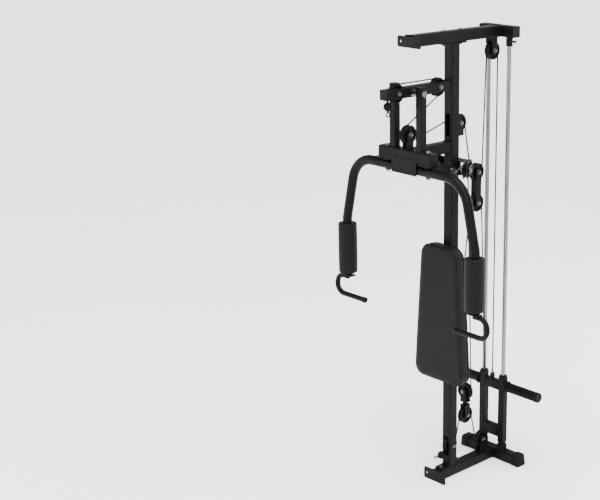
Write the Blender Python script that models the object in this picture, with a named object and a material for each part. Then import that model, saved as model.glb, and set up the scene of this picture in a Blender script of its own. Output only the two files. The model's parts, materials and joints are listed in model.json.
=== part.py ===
"""Multi station home gym: a plate-loaded tower with a lat pull, a swinging press frame,
two fly arms and a low row, all driven by three cables.

The gym stands on Z = 0. +X is the front, where the user sits, -X is the rear, where the
weight carriage runs, and +Y is the user's left. Dimensions are taken from the upright's
centre line; CENTRE then moves everything so that the origin is the middle of the
footprint. Every sub-part is one closed solid, and touching pieces keep a gap of FIT.
"""
import math

import bmesh
import bpy
from mathutils import Matrix, Vector

# ---------------------------------------------------------------- driving dimensions (metres)
FIT = 0.0003              # gap between pieces that touch
HEIGHT = 2.100            # top of the top beam
TUBE = 0.050              # side of the main square tube
BOOM_TUBE = 0.045         # side of the boom, and width of the stop beam
POST_TUBE = 0.035         # side of the press posts
SLIDE_TUBE = 0.035        # side of the carriage's sliding posts
WALL = 0.0025             # wall of every tube
TUBE_ROUND = 0.005        # outer corner radius of a tube
PLATE = 0.006             # flange thickness
EAR = 0.004               # pulley bracket side plates

FOOT_X = -0.3045          # centre of the rear cross tubes
FOOT_HALF = 0.168         # half length of the foot tube
FOOT_LIFT = 0.002         # the end caps and the mount plate hold the base this high
CAP_HALF = 0.184          # outer end of the foot caps
TEE_HALF = 0.100          # half length of the top cross tube
BASE_FRONT = 0.097        # front end of the base beam
TOP_FRONT = 0.256         # front end of the top beam

MOUNT_PLATE_HALF = 0.068
MOUNT_HOLE_Y = 0.050
MOUNT_HOLE_R = 0.006

ROD_X = -0.304
ROD_Y = 0.061
ROD_R = 0.010
WING_REACH = 0.038        # thumb screws reach this far behind the rods
SCREW_Z = 2.026
COLLAR_LOW = 2.010
COLLAR_R = 0.0155
SEAT_TOP = 0.092
SEAT_R = 0.024

PULLEY_R = 0.041
PULLEY_HALF = 0.010       # half width of a pulley
GROOVE_R = 0.0336         # floor of the cable groove
CABLE_R = 0.0025
WRAP_R = 0.037            # radius of the cable's centre line on a pulley
AXLE_R = 0.005
BORE_R = 0.0053
EAR_GAP = 0.0123          # half gap between a bracket's ears
SLOT_HALF = 0.0125        # half width of the slots that pulleys run in

# pulley centres, as (x, z) in the middle plane
TOP_PULLEY = (-0.258, 1.9895)
REAR_PULLEY = (-0.043, 1.692)
PRESS_PULLEY = (0.268, 1.6824)
BOOM_REAR_PULLEY = (0.092, 1.866)
BOOM_FRONT_PULLEY = (0.338, 1.866)
UPPER_BLOCK_TOP = (-0.1633, 1.4505)
UPPER_BLOCK_LOW = (-0.1633, 1.306)
LOWER_BLOCK_TOP = (-0.1045, 0.3985)
LOWER_BLOCK_LOW = (-0.1045, 0.2777)
BASE_PULLEY = (-0.217, 0.119)
LOW_PULLEY = (0.0, 0.156)

BOOM_Z = 1.866
BOOM_FRONT = 0.408
PRESS_X = 0.268           # press pivot, posts, cross tube and fly pins
PIN_R = 0.008             # press pivot bolt and fly pins
PIN_BORE_R = 0.0083
PIN_HEAD_R = 0.0135
POST_Y = 0.0800
CROSS_Z = 1.5945
CROSS_HALF = 0.157
STOP_FRONT = 0.238

FLY_Y = 0.1225            # fly pin
ARM_Z = 1.536
ARM_R = 0.0215            # radius of the round fly arms
ARM_INNER_Y = 0.012
ELBOW_Y = 0.330
ELBOW_R = 0.130
LEG_BEND_R = 0.060
LEG_Y = 0.396
LEG_BEND_Z = 1.244
GRIP_TOP = 1.219
GRIP_BOTTOM = 0.984
GRIP_R = 0.0428
GRIP_CORE_R = 0.0125
HANDLE_R = 0.012
HANDLE_PLATE_TOP = 0.973
HANDLE_OUTER_Y = 0.471
HANDLE_INNER_Y = 0.280
HANDLE_BAR_Z = 0.872
CAM_R = 0.118
CAM_WRAP_R = 0.108        # cable's centre line on the cam

SWIVEL_PIN = (-0.068, 0.047)
SWIVEL_YAW = math.radians(31)
SWIVEL_REACH = 0.073
SWIVEL_Z = ARM_Z - 0.001 - WRAP_R

LIFT_EYE_TOP = 0.4395
HORN_Z = 0.385
HORN_R = 0.0235
HORN_END = 0.285

PAD_FRONT = 0.082
PAD_TOP = 1.151
PAD_BOTTOM = 0.503
PAD_HALF_TOP = 0.115
PAD_HALF_BOTTOM = 0.153

LAT_BALL_X = 0.384
LAT_BALL_Z = 1.815
LOW_BALL_X = 0.055
BALL_R = 0.019
ANCHOR_Z = 0.689

CENTRE = (ROD_X - WING_REACH + BOOM_FRONT) / 2

SIDES = (("left", 1), ("right", -1))
X_AXIS, Y_AXIS, Z_AXIS = Vector((1, 0, 0)), Vector((0, 1, 0)), Vector((0, 0, 1))


# ---------------------------------------------------------------- scene and materials
def clear_scene():
    for item in list(bpy.data.objects):
        bpy.data.objects.remove(item, do_unlink=True)


def make_material(name, colour, roughness, metallic):
    material = bpy.data.materials.new(name)
    material.use_nodes = True
    shader = material.node_tree.nodes["Principled BSDF"]
    shader.inputs["Base Color"].default_value = (*colour, 1)
    shader.inputs["Roughness"].default_value = roughness
    shader.inputs["Metallic"].default_value = metallic
    return material


FINISHES = {
    "black_paint": ((0.022, 0.022, 0.023), 0.38, 0.0),
    "steel": ((0.62, 0.62, 0.60), 0.22, 1.0),
    "zinc": ((0.60, 0.60, 0.58), 0.35, 1.0),
    "pulley_plastic": ((0.012, 0.012, 0.012), 0.45, 0.0),
    "rubber": ((0.015, 0.015, 0.015), 0.75, 0.0),
    "foam": ((0.020, 0.020, 0.020), 0.90, 0.0),
    "vinyl": ((0.045, 0.045, 0.048), 0.50, 0.0),
    "cable_cover": ((0.010, 0.010, 0.010), 0.40, 0.0),
}


# ---------------------------------------------------------------- mesh helpers
def finish_object(name, mesh_data, slot, smooth=30):
    """Link a bmesh as an object with a material of its own."""
    bmesh.ops.recalc_face_normals(mesh_data, faces=mesh_data.faces)
    mesh = bpy.data.meshes.new(name)
    mesh_data.to_mesh(mesh)
    mesh_data.free()
    mesh.shade_smooth()
    mesh.set_sharp_from_angle(angle=math.radians(smooth))
    item = bpy.data.objects.new(name, mesh)
    bpy.context.collection.objects.link(item)
    if slot:
        mesh.materials.append(make_material(f"{name}_{slot}", *FINISHES[slot]))
    return item


def make_tool(item):
    item.hide_render = True
    item.display_type = "WIRE"
    return item


def combine(target, tool, operation):
    make_tool(tool)
    modifier = target.modifiers.new(f"{operation.lower()}_{tool.name}", "BOOLEAN")
    modifier.operation = operation
    modifier.solver = "EXACT"
    modifier.object = tool
    return target


def fuse(target, *tools):
    for tool in tools:
        combine(target, tool, "UNION")
    return target


def cut(target, *tools):
    for tool in tools:
        combine(target, tool, "DIFFERENCE")
    return target


def rounded_outline(width, height, radius, steps=3):
    """Corner-rounded rectangle, centred, counter-clockwise."""
    points = []
    for sign_u, sign_v, start in ((1, 1, 0), (-1, 1, 90), (-1, -1, 180), (1, -1, 270)):
        centre = (sign_u * (width / 2 - radius), sign_v * (height / 2 - radius))
        for step in range(steps + 1):
            angle = math.radians(start + 90 * step / steps)
            points.append((centre[0] + radius * math.cos(angle), centre[1] + radius * math.sin(angle)))
    return points


def circle_outline(radius, sides):
    return [(radius * math.cos(math.tau * i / sides), radius * math.sin(math.tau * i / sides))
            for i in range(sides)]


def frame_of(axis):
    """Matrix that turns local Z to an axis, with a steady roll."""
    axis = axis.normalized()
    side = Z_AXIS.cross(axis) if abs(axis.z) < 0.9 else X_AXIS.copy()
    side = (side - axis * side.dot(axis)).normalized()
    up = axis.cross(side)
    return Matrix((side, up, axis)).transposed()


def add_ring(mesh_data, outline, place, turn):
    return [mesh_data.verts.new(place + turn @ Vector((u, v, 0))) for u, v in outline]


def bridge(mesh_data, first, second):
    count = len(first)
    for i in range(count):
        j = (i + 1) % count
        mesh_data.faces.new((first[i], first[j], second[j], second[i]))


def prism(name, outline, start, axis, length, slot=None, smooth=30):
    """Solid bar: an outline swept along an axis."""
    mesh_data = bmesh.new()
    turn = frame_of(axis)
    near = add_ring(mesh_data, outline, Vector(start), turn)
    far = add_ring(mesh_data, outline, Vector(start) + axis.normalized() * length, turn)
    bridge(mesh_data, near, far)
    mesh_data.faces.new(near)
    mesh_data.faces.new(far)
    return finish_object(name, mesh_data, slot, smooth)


def hollow(name, outer, inner, rings, slot, smooth=30):
    """Open-ended tube through a list of (place, turn) stations."""
    mesh_data = bmesh.new()
    outside = [add_ring(mesh_data, outer, place, turn) for place, turn in rings]
    inside = [add_ring(mesh_data, inner, place, turn) for place, turn in rings]
    for k in range(len(rings) - 1):
        bridge(mesh_data, outside[k], outside[k + 1])
        bridge(mesh_data, inside[k], inside[k + 1])
    bridge(mesh_data, outside[0], inside[0])
    bridge(mesh_data, outside[-1], inside[-1])
    return finish_object(name, mesh_data, slot, smooth)


def tube(name, start, axis, length, size=TUBE, depth=None, slot="black_paint"):
    """Straight rectangular tube; size is its level side, depth the other one."""
    depth = depth or size
    turn = frame_of(axis)
    start = Vector(start)
    rings = [(start, turn), (start + axis.normalized() * length, turn)]
    outer = rounded_outline(size, depth, TUBE_ROUND)
    inner = rounded_outline(size - 2 * WALL, depth - 2 * WALL, TUBE_ROUND - WALL)
    return hollow(name, outer, inner, rings, slot)


def box(name, low, high, slot=None):
    mesh_data = bmesh.new()
    bmesh.ops.create_cube(mesh_data, size=1)
    low, high = Vector(low), Vector(high)
    for vert in mesh_data.verts:
        vert.co = Vector([(low[i] + high[i]) / 2 + vert.co[i] * (high[i] - low[i]) for i in range(3)])
    return finish_object(name, mesh_data, slot)


def rod(name, centre, axis, low, high, radius, sides=20, slot=None):
    """Cylinder about a centre line, from low to high along its axis."""
    start = Vector(centre) + axis.normalized() * low
    return prism(name, circle_outline(radius, sides), start, axis, high - low, slot)


def ring(name, centre, axis, low, high, outer_r, inner_r, slot=None, sides=24):
    turn = frame_of(axis)
    places = [Vector(centre) + axis.normalized() * offset for offset in (low, high)]
    rings = [(place, turn) for place in places]
    return hollow(name, circle_outline(outer_r, sides), circle_outline(inner_r, sides), rings, slot)


def slab(name, points, origin, axis_u, axis_v, thickness, slot=None, smooth=30):
    """Flat plate: points (u, v) in a plane, thickened both ways about the plane."""
    mesh_data = bmesh.new()
    normal = axis_u.cross(axis_v).normalized()
    faces = []
    for side in (-0.5, 0.5):
        faces.append([mesh_data.verts.new(Vector(origin) + axis_u * u + axis_v * v
                                          + normal * thickness * side) for u, v in points])
    bridge(mesh_data, faces[0], faces[1])
    mesh_data.faces.new(faces[0])
    mesh_data.faces.new(faces[1])
    return finish_object(name, mesh_data, slot, smooth)


def turned(name, profile, centre, axis, slot, sides=24):
    """Closed ring turned from a profile of (radius, offset along the axis)."""
    mesh_data = bmesh.new()
    turn = frame_of(axis)
    columns = []
    for i in range(sides):
        angle = math.tau * i / sides
        spoke = turn @ Vector((math.cos(angle), math.sin(angle), 0))
        columns.append([mesh_data.verts.new(Vector(centre) + spoke * radius + turn @ Vector((0, 0, offset)))
                        for radius, offset in profile])
    for i in range(sides):
        bridge(mesh_data, columns[i], columns[(i + 1) % sides])
    return finish_object(name, mesh_data, slot)


def ball(name, centre, radius, slot=None):
    mesh_data = bmesh.new()
    bmesh.ops.create_uvsphere(mesh_data, u_segments=20, v_segments=12, radius=radius)
    bmesh.ops.translate(mesh_data, verts=mesh_data.verts, vec=Vector(centre))
    return finish_object(name, mesh_data, slot)


def torus(name, centre, axis, major, minor, slot=None):
    profile = [(major + u, v) for u, v in circle_outline(minor, 8)]
    return turned(name, profile, centre, axis, slot, sides=20)


def bolt_tools(name, centre, axis, half, radius=AXLE_R, head_r=0.0095, head=0.0065):
    """Bolt through both ears: shank, hexagon head and nut, each to be fused on."""
    sunk = 0.0008
    return (
        rod(f"{name}_shank", centre, axis, -half, half, radius, 16),
        rod(f"{name}_head", centre, axis, half - sunk, half + head, head_r, 6),
        rod(f"{name}_nut", centre, axis, -half - head, -half + sunk, head_r, 6),
    )


# ---------------------------------------------------------------- frame
def build_base():
    level = FOOT_LIFT + TUBE / 2
    tube("foot_tube", (FOOT_X, -FOOT_HALF, level), Y_AXIS, 2 * FOOT_HALF)
    for side, sign in SIDES:
        inner = FOOT_HALF - 0.024
        flare, crown = 0.058, 0.060
        cap = prism(f"foot_cap_{side}", rounded_outline(flare, crown, 0.008),
                    (FOOT_X, sign * inner, crown / 2), Y_AXIS * sign, CAP_HALF - inner, "rubber")
        pocket = prism(f"foot_cap_{side}_pocket", rounded_outline(TUBE + 2 * FIT, TUBE + 2 * FIT, TUBE_ROUND),
                       (FOOT_X, sign * (inner - 0.01), level), Y_AXIS * sign, FOOT_HALF - inner + 0.01 + FIT)
        cut(cap, pocket)
    start = FOOT_X + TUBE / 2 + FIT
    tube("base_beam", (start, 0, level), X_AXIS, BASE_FRONT - start)
    mount_plate("base_mount_plate", BASE_FRONT + FIT, 0.0, 0.056)
    for side, sign in SIDES:
        ring(f"rod_seat_{side}", (ROD_X, sign * ROD_Y, 0), Z_AXIS, FOOT_LIFT + TUBE + FIT, SEAT_TOP,
             SEAT_R, ROD_R + FIT, "rubber")


def mount_plate(name, back, low, high):
    """Flange at a beam's front end, with a bolt hole near each end."""
    middle = (low + high) / 2
    plate = prism(name, rounded_outline(2 * MOUNT_PLATE_HALF, high - low, 0.006),
                  (back, 0, middle), X_AXIS, PLATE, "black_paint")
    for side, sign in SIDES:
        cut(plate, rod(f"{name}_hole_{side}", (back, sign * MOUNT_HOLE_Y, middle), X_AXIS, -0.01, 0.02,
                       MOUNT_HOLE_R, 16))


def build_upright():
    low = FOOT_LIFT + TUBE + FIT
    high = HEIGHT - TUBE - FIT
    upright = tube("upright", (0, 0, low + PLATE / 2), Z_AXIS, high - low - PLATE)
    for tag, z, reach in (("foot", low, 0.075), ("top", high - PLATE, 0.070)):
        plate = prism(f"upright_{tag}_flange", rounded_outline(TUBE, 2 * reach, 0.005),
                      (0, 0, z), Z_AXIS, PLATE)
        plate.data.transform(Matrix.Rotation(math.radians(90), 4, "Z"))
        fuse(upright, plate)
    slots = (("upper", REAR_PULLEY[1] - 0.050, REAR_PULLEY[1] + 0.050),
             ("lower", LOW_PULLEY[1] - 0.048, LOW_PULLEY[1] + 0.048))
    for tag, z_low, z_high in slots:
        cut(upright, box(f"upright_{tag}_slot", (-0.03, -SLOT_HALF, z_low), (0.03, SLOT_HALF, z_high)))
    fuse(upright, *bolt_tools("low_pulley_axle", (LOW_PULLEY[0], 0, LOW_PULLEY[1]), Y_AXIS, TUBE / 2))


def build_top():
    level = HEIGHT - TUBE / 2
    tube("top_cross_tube", (FOOT_X, -TEE_HALF, level), Y_AXIS, 2 * TEE_HALF)
    start = FOOT_X + TUBE / 2 + FIT
    tube("top_beam", (start, 0, level), X_AXIS, TOP_FRONT - start)
    mount_plate("top_mount_plate", TOP_FRONT + FIT, HEIGHT - 0.052, HEIGHT - 0.005)
    under = HEIGHT - TUBE - FIT
    for side, sign in SIDES:
        centre = (ROD_X, sign * ROD_Y, 0)
        rod(f"guide_rod_{side}", centre, Z_AXIS, FOOT_LIFT + TUBE + FIT, under, ROD_R, 20, "steel")
        collar = ring(f"rod_collar_{side}", centre, Z_AXIS, COLLAR_LOW, under, COLLAR_R, ROD_R + FIT,
                      "black_paint")
        screw = (ROD_X, sign * ROD_Y, SCREW_Z)
        fuse(collar, rod(f"thumb_screw_{side}", screw, -X_AXIS, 0.013, WING_REACH - 0.004, 0.004, 12))
        wing = prism(f"thumb_wing_{side}", rounded_outline(0.024, 0.008, 0.0035),
                     Vector(screw) - X_AXIS * (WING_REACH - 0.012), -X_AXIS, 0.012)
        fuse(collar, wing)


# ---------------------------------------------------------------- pulleys and brackets
def pulley(name, centre, axis=Y_AXIS):
    rim_land = 0.0075
    profile = [(BORE_R, -PULLEY_HALF), (PULLEY_R, -PULLEY_HALF), (PULLEY_R, -rim_land), (GROOVE_R, -0.003),
               (GROOVE_R, 0.003), (PULLEY_R, rim_land), (PULLEY_R, PULLEY_HALF), (BORE_R, PULLEY_HALF)]
    return turned(name, profile, centre, axis, "pulley_plastic")


def ear_outline(width, reach):
    """Ear with a round end about the axle (0, 0), running to v = reach."""
    half = width / 2
    end = [(half * math.cos(math.radians(a)), -half * math.sin(math.radians(a))) for a in range(0, 181, 20)]
    return end + [(-half, reach), (half, reach)]


def u_bracket(name, centre, axis, towards, reach, width=0.034, slot="black_paint"):
    """U of two ears about an axle, closed by a base plate at the given reach."""
    centre = Vector(centre)
    across = towards.cross(axis)
    first = None
    for tag, sign in (("a", 1), ("b", -1)):
        middle = centre + axis * sign * (EAR_GAP + EAR / 2)
        plate = slab(f"{name}_ear_{tag}" if first else name, ear_outline(width, reach), middle,
                     across, towards, EAR, None if first else slot)
        if first:
            fuse(first, plate)
        else:
            first = plate
    base_low = centre + towards * (reach - EAR)
    base = prism(f"{name}_base", rounded_outline(2 * (EAR_GAP + EAR), width + 0.008, 0.002),
                 base_low, towards, EAR)
    if abs(Vector(frame_of(towards).col[0]).dot(axis)) < 0.5:
        base.data.transform(Matrix.Translation(base_low) @ Matrix.Rotation(math.radians(90), 4, towards)
                            @ Matrix.Translation(-base_low))
    fuse(first, base, *bolt_tools(f"{name}_bolt", centre, axis, EAR_GAP + EAR))
    return first


def in_plane(point):
    return Vector((point[0], 0, point[1]))


def build_fixed_pulleys():
    under_beam = HEIGHT - TUBE - FIT
    over_base = FOOT_LIFT + TUBE + FIT
    u_bracket("top_pulley_bracket", in_plane(TOP_PULLEY), Y_AXIS, Z_AXIS, under_beam - TOP_PULLEY[1])
    u_bracket("base_pulley_bracket", in_plane(BASE_PULLEY), Y_AXIS, -Z_AXIS, BASE_PULLEY[1] - over_base)
    rear_face = -TUBE / 2 - FIT
    centre = in_plane(REAR_PULLEY)
    drop = 0.056
    outline = [(rear_face - centre.x, 0.022), (rear_face - centre.x, -drop), (-0.018, -drop)]
    outline += [(0.018 * math.cos(math.radians(a)), 0.018 * math.sin(math.radians(a)))
                for a in range(180, 79, -20)]
    bracket = None
    for tag, sign in (("a", 1), ("b", -1)):
        middle = centre + Y_AXIS * sign * (EAR_GAP + EAR / 2)
        ear = slab(f"rear_pulley_ear_{tag}" if bracket else "rear_pulley_bracket", outline, middle,
                   X_AXIS, Z_AXIS, EAR, None if bracket else "black_paint")
        bracket = fuse(bracket, ear) if bracket else ear
    bridge_low = centre.z - drop
    fuse(bracket, box("rear_pulley_bridge", (rear_face - 0.006, -EAR_GAP - 0.001, bridge_low),
                      (rear_face, EAR_GAP + 0.001, bridge_low + 0.010)))
    fuse(bracket, *bolt_tools("rear_pulley_bolt", centre, Y_AXIS, EAR_GAP + EAR))
    for name, point in (("pulley_top", TOP_PULLEY), ("pulley_base", BASE_PULLEY), ("pulley_rear", REAR_PULLEY),
                        ("pulley_low", LOW_PULLEY), ("pulley_boom_rear", BOOM_REAR_PULLEY),
                        ("pulley_boom_front", BOOM_FRONT_PULLEY)):
        pulley(name, in_plane(point))


# ---------------------------------------------------------------- boom, stop beam and press frame
def build_boom():
    start = TUBE / 2 + FIT
    boom = tube("boom", (start, 0, BOOM_Z), X_AXIS, BOOM_FRONT - start, BOOM_TUBE)
    for tag, point in (("rear", BOOM_REAR_PULLEY), ("front", BOOM_FRONT_PULLEY)):
        cut(boom, box(f"boom_{tag}_slot", (point[0] - 0.050, -SLOT_HALF, BOOM_Z - 0.03),
                      (point[0] + 0.050, SLOT_HALF, BOOM_Z + 0.03)))
        fuse(boom, *bolt_tools(f"boom_{tag}_bolt", in_plane(point), Y_AXIS, BOOM_TUBE / 2))
    pivot = Vector((PRESS_X, 0, BOOM_Z))
    cut(boom, rod("boom_pivot_bore", pivot, Y_AXIS, -0.03, 0.03, PIN_BORE_R))
    post_outer = POST_Y + POST_TUBE / 2 + FIT
    post_inner = POST_Y - POST_TUBE / 2 - FIT
    bolt = rod("press_pivot_bolt", pivot, Y_AXIS, -post_outer - 0.001, post_outer + 0.001, PIN_R, 20, "zinc")
    for side, sign in SIDES:
        fuse(bolt, rod(f"press_pivot_head_{side}", pivot, Y_AXIS * sign, post_outer, post_outer + 0.009,
                       PIN_HEAD_R, 6))
        fuse(bolt, rod(f"press_pivot_spacer_{side}", pivot, Y_AXIS * sign, BOOM_TUBE / 2 + FIT, post_inner,
                       0.014, 20))
    tube("stop_beam", (start, 0, CROSS_Z), X_AXIS, STOP_FRONT - start, BOOM_TUBE, TUBE)
    prism("stop_bumper", rounded_outline(BOOM_TUBE, TUBE, TUBE_ROUND), (STOP_FRONT + FIT, 0, CROSS_Z), X_AXIS,
          PRESS_X - TUBE / 2 - STOP_FRONT - 2 * FIT, "rubber")


def build_press_frame():
    cross_top = CROSS_Z + TUBE / 2
    for side, sign in SIDES:
        post = tube(f"press_post_{side}", (PRESS_X, sign * POST_Y, cross_top + FIT), Z_AXIS,
                    BOOM_Z + 0.026 - cross_top, POST_TUBE)
        cut(post, rod(f"press_post_{side}_bore", (PRESS_X, sign * POST_Y, BOOM_Z), Y_AXIS, -0.03, 0.03,
                      PIN_BORE_R))
    cross = tube("press_cross_tube", (PRESS_X, -CROSS_HALF, CROSS_Z), Y_AXIS, 2 * CROSS_HALF)
    front = PRESS_X + ARM_R + FIT
    fuse(cross, box("arm_stop_plate", (front, -0.075, ARM_Z - 0.021), (front + 0.005, 0.075, CROSS_Z - 0.012)))
    for side, sign in SIDES:
        centre = Vector((PRESS_X, sign * FLY_Y, 0))
        cut(cross, rod(f"fly_pin_bore_{side}", centre, Z_AXIS, CROSS_Z - 0.04, CROSS_Z + 0.04, PIN_BORE_R))
        arm_top = ARM_Z + ARM_R + FIT
        arm_low = ARM_Z - ARM_R - FIT
        pin_top = cross_top + FIT
        pin = rod(f"fly_pin_{side}", centre, Z_AXIS, arm_low - 0.001, pin_top + 0.001, PIN_R, 20, "zinc")
        fuse(pin, rod(f"fly_pin_head_{side}", centre, Z_AXIS, pin_top, pin_top + 0.0097, PIN_HEAD_R, 6))
        fuse(pin, rod(f"fly_pin_washer_{side}", centre, Z_AXIS, arm_top, CROSS_Z - TUBE / 2 - FIT, 0.0105, 20))
        fuse(pin, rod(f"fly_pin_nut_{side}", centre, Z_AXIS, arm_low - 0.009, arm_low, PIN_HEAD_R, 6))
    u_bracket("press_pulley_bracket", in_plane(PRESS_PULLEY), Y_AXIS, -Z_AXIS,
              PRESS_PULLEY[1] - cross_top - FIT)
    pulley("pulley_press", in_plane(PRESS_PULLEY))


# ---------------------------------------------------------------- fly arms
def round_path(corners, radii, step=12):
    """Points through (y, z) corners, with each inner corner rounded by an arc."""
    points = [Vector(corners[0])]
    for k in range(1, len(corners) - 1):
        before, here, after = (Vector(corners[i]) for i in (k - 1, k, k + 1))
        arrive, leave = (here - before).normalized(), (after - here).normalized()
        turn = arrive.angle_signed(leave)
        reach = radii[k - 1] * math.tan(abs(turn) / 2)
        side = Vector((-arrive.y, arrive.x)) * (-1 if turn > 0 else 1)
        centre = here - arrive * reach + side * radii[k - 1]
        spoke = (here - arrive * reach) - centre
        count = max(2, math.ceil(math.degrees(abs(turn)) / step))
        for i in range(count + 1):
            points.append(centre + (Matrix.Rotation(-turn * i / count, 2) @ spoke))
    points.append(Vector(corners[-1]))
    return points


def path_frames(points, sign):
    """Stations along a (y, z) path in the press frame's plane, mirrored by the side's sign."""
    frames = []
    for i, point in enumerate(points):
        before = points[max(i - 1, 0)]
        after = points[min(i + 1, len(points) - 1)]
        ahead = ((point - before).normalized() if i else Vector((0, 0))) \
            + ((after - point).normalized() if i < len(points) - 1 else Vector((0, 0)))
        ahead.normalize()
        sweep = Vector((0, sign * ahead.x, ahead.y))
        up = sweep.cross(X_AXIS)
        stretch = 1.0
        if 0 < i < len(points) - 1:
            stretch = 1 / max(0.5, (point - before).normalized().dot(ahead))
        place = Vector((PRESS_X, sign * point.x, point.y))
        frames.append((place, Matrix((X_AXIS, up * stretch, sweep)).transposed()))
    return frames


def arm_corners():
    return [(ARM_INNER_Y, ARM_Z), (ELBOW_Y, ARM_Z), (LEG_Y, LEG_BEND_Z), (LEG_Y, GRIP_TOP + FIT)]


def handle_corners():
    top = HANDLE_PLATE_TOP - HANDLE_R
    return [(LEG_Y, top), (HANDLE_OUTER_Y, top), (HANDLE_OUTER_Y, HANDLE_BAR_Z), (HANDLE_INNER_Y, HANDLE_BAR_Z)]


def build_fly_arm(side, sign):
    frames = path_frames(round_path(arm_corners(), (ELBOW_R, LEG_BEND_R)), sign)
    arm = hollow(f"fly_arm_{side}", circle_outline(ARM_R, 20), circle_outline(ARM_R - WALL, 20), frames,
                 "black_paint")
    pin = Vector((PRESS_X, sign * FLY_Y, 0))
    fuse(arm, cam_tool(side, sign, pin))
    cut(arm, ring(f"cam_groove_{side}", pin, Z_AXIS, ARM_Z - 0.0045, ARM_Z + 0.0025, CAM_R + 0.02,
                  CAM_WRAP_R - CABLE_R - FIT, sides=72))
    cut(arm, rod(f"fly_arm_bore_{side}", pin, Z_AXIS, ARM_Z - 0.04, ARM_Z + 0.04, PIN_BORE_R))
    core = (PRESS_X, sign * LEG_Y, 0)
    fuse(arm, rod(f"leg_end_{side}", core, Z_AXIS, GRIP_TOP + 0.001, GRIP_TOP + 0.005, ARM_R - 0.001, 20))
    fuse(arm, rod(f"grip_core_{side}", core, Z_AXIS, HANDLE_PLATE_TOP + FIT, GRIP_TOP + 0.003, GRIP_CORE_R, 20))
    ring(f"foam_grip_{side}", core, Z_AXIS, GRIP_BOTTOM, GRIP_TOP, GRIP_R, GRIP_CORE_R + FIT, "foam")
    build_handle(side, sign)


def cam_tool(side, sign, pin):
    """D-shaped cam behind the pin: flat along the arm, round at the rear."""
    front, inner, outer = -0.012, math.radians(-22), math.radians(62)
    points = [(front, CAM_R * math.sin(inner))]
    steps = 14
    for i in range(steps + 1):
        angle = inner + (outer - inner) * i / steps
        points.append((-CAM_R * math.cos(angle), CAM_R * math.sin(angle)))
    points.append((front, CAM_R * math.sin(outer)))
    cam = slab(f"cam_{side}", points, pin + Z_AXIS * (ARM_Z - 0.001), X_AXIS, Y_AXIS * sign, 0.036)
    angle = math.radians(54)
    bolt = pin + Vector((-math.cos(angle), sign * math.sin(angle), 0)) * 0.099
    fuse(cam, rod(f"cam_bolt_{side}", bolt, Z_AXIS, ARM_Z - 0.022, ARM_Z + 0.022, 0.0065, 6))
    return cam


def build_handle(side, sign):
    frames = path_frames(round_path(handle_corners(), (0.044, 0.042), 15), sign)
    mesh_data = bmesh.new()
    rings = [add_ring(mesh_data, circle_outline(HANDLE_R, 14), spot, turn) for spot, turn in frames]
    for k in range(len(rings) - 1):
        bridge(mesh_data, rings[k], rings[k + 1])
    mesh_data.faces.new(rings[0])
    mesh_data.faces.new(rings[-1])
    handle = finish_object(f"press_handle_{side}", mesh_data, "black_paint")
    middle, half = sign * LEG_Y, 0.035
    fuse(handle, box(f"handle_plate_{side}", (PRESS_X - 0.018, middle - half, HANDLE_PLATE_TOP - 0.005),
                     (PRESS_X + 0.018, middle + half, HANDLE_PLATE_TOP)))
    fuse(handle, rod(f"handle_bolt_{side}", (PRESS_X, sign * (LEG_Y + half - 0.009), 0), Z_AXIS,
                     HANDLE_PLATE_TOP - 0.001, HANDLE_PLATE_TOP + 0.006, 0.007, 6))


# ---------------------------------------------------------------- swivel pulleys
def swivel_centre(sign):
    return Vector((SWIVEL_PIN[0] + SWIVEL_REACH * math.cos(SWIVEL_YAW),
                   sign * (SWIVEL_PIN[1] + SWIVEL_REACH * math.sin(SWIVEL_YAW)), SWIVEL_Z))


def swivel_ahead(sign):
    return Vector((math.cos(SWIVEL_YAW), sign * math.sin(SWIVEL_YAW), 0))


def build_swivels():
    top, low = 1.520, 1.466
    face = -TUBE / 2 - FIT
    mount = box("swivel_mount", (face - 0.005, -0.030, low - 0.005), (face, 0.030, top + 0.005), "black_paint")
    outline = [(face, -0.030), (face, 0.030), (-0.056, 0.057), (-0.074, 0.057), (-0.080, 0.050),
               (-0.080, -0.050), (-0.074, -0.057), (-0.056, -0.057)]
    for tag, z in (("top", top + 0.0025), ("low", low - 0.0025)):
        fuse(mount, slab(f"swivel_shelf_{tag}", outline, (0, 0, z), X_AXIS, Y_AXIS, 0.005))
    for side, sign in SIDES:
        pin = Vector((SWIVEL_PIN[0], sign * SWIVEL_PIN[1], 0))
        fuse(mount, rod(f"swivel_pin_{side}", pin, Z_AXIS, low - 0.004, top + 0.004, 0.006, 16))
        fuse(mount, rod(f"swivel_pin_head_{side}", pin, Z_AXIS, top + 0.004, top + 0.010, 0.0095, 6))
        fuse(mount, rod(f"swivel_pin_nut_{side}", pin, Z_AXIS, low - 0.010, low - 0.004, 0.0095, 6))
        build_swivel_bracket(side, sign, pin, low + FIT, top - FIT)


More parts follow.
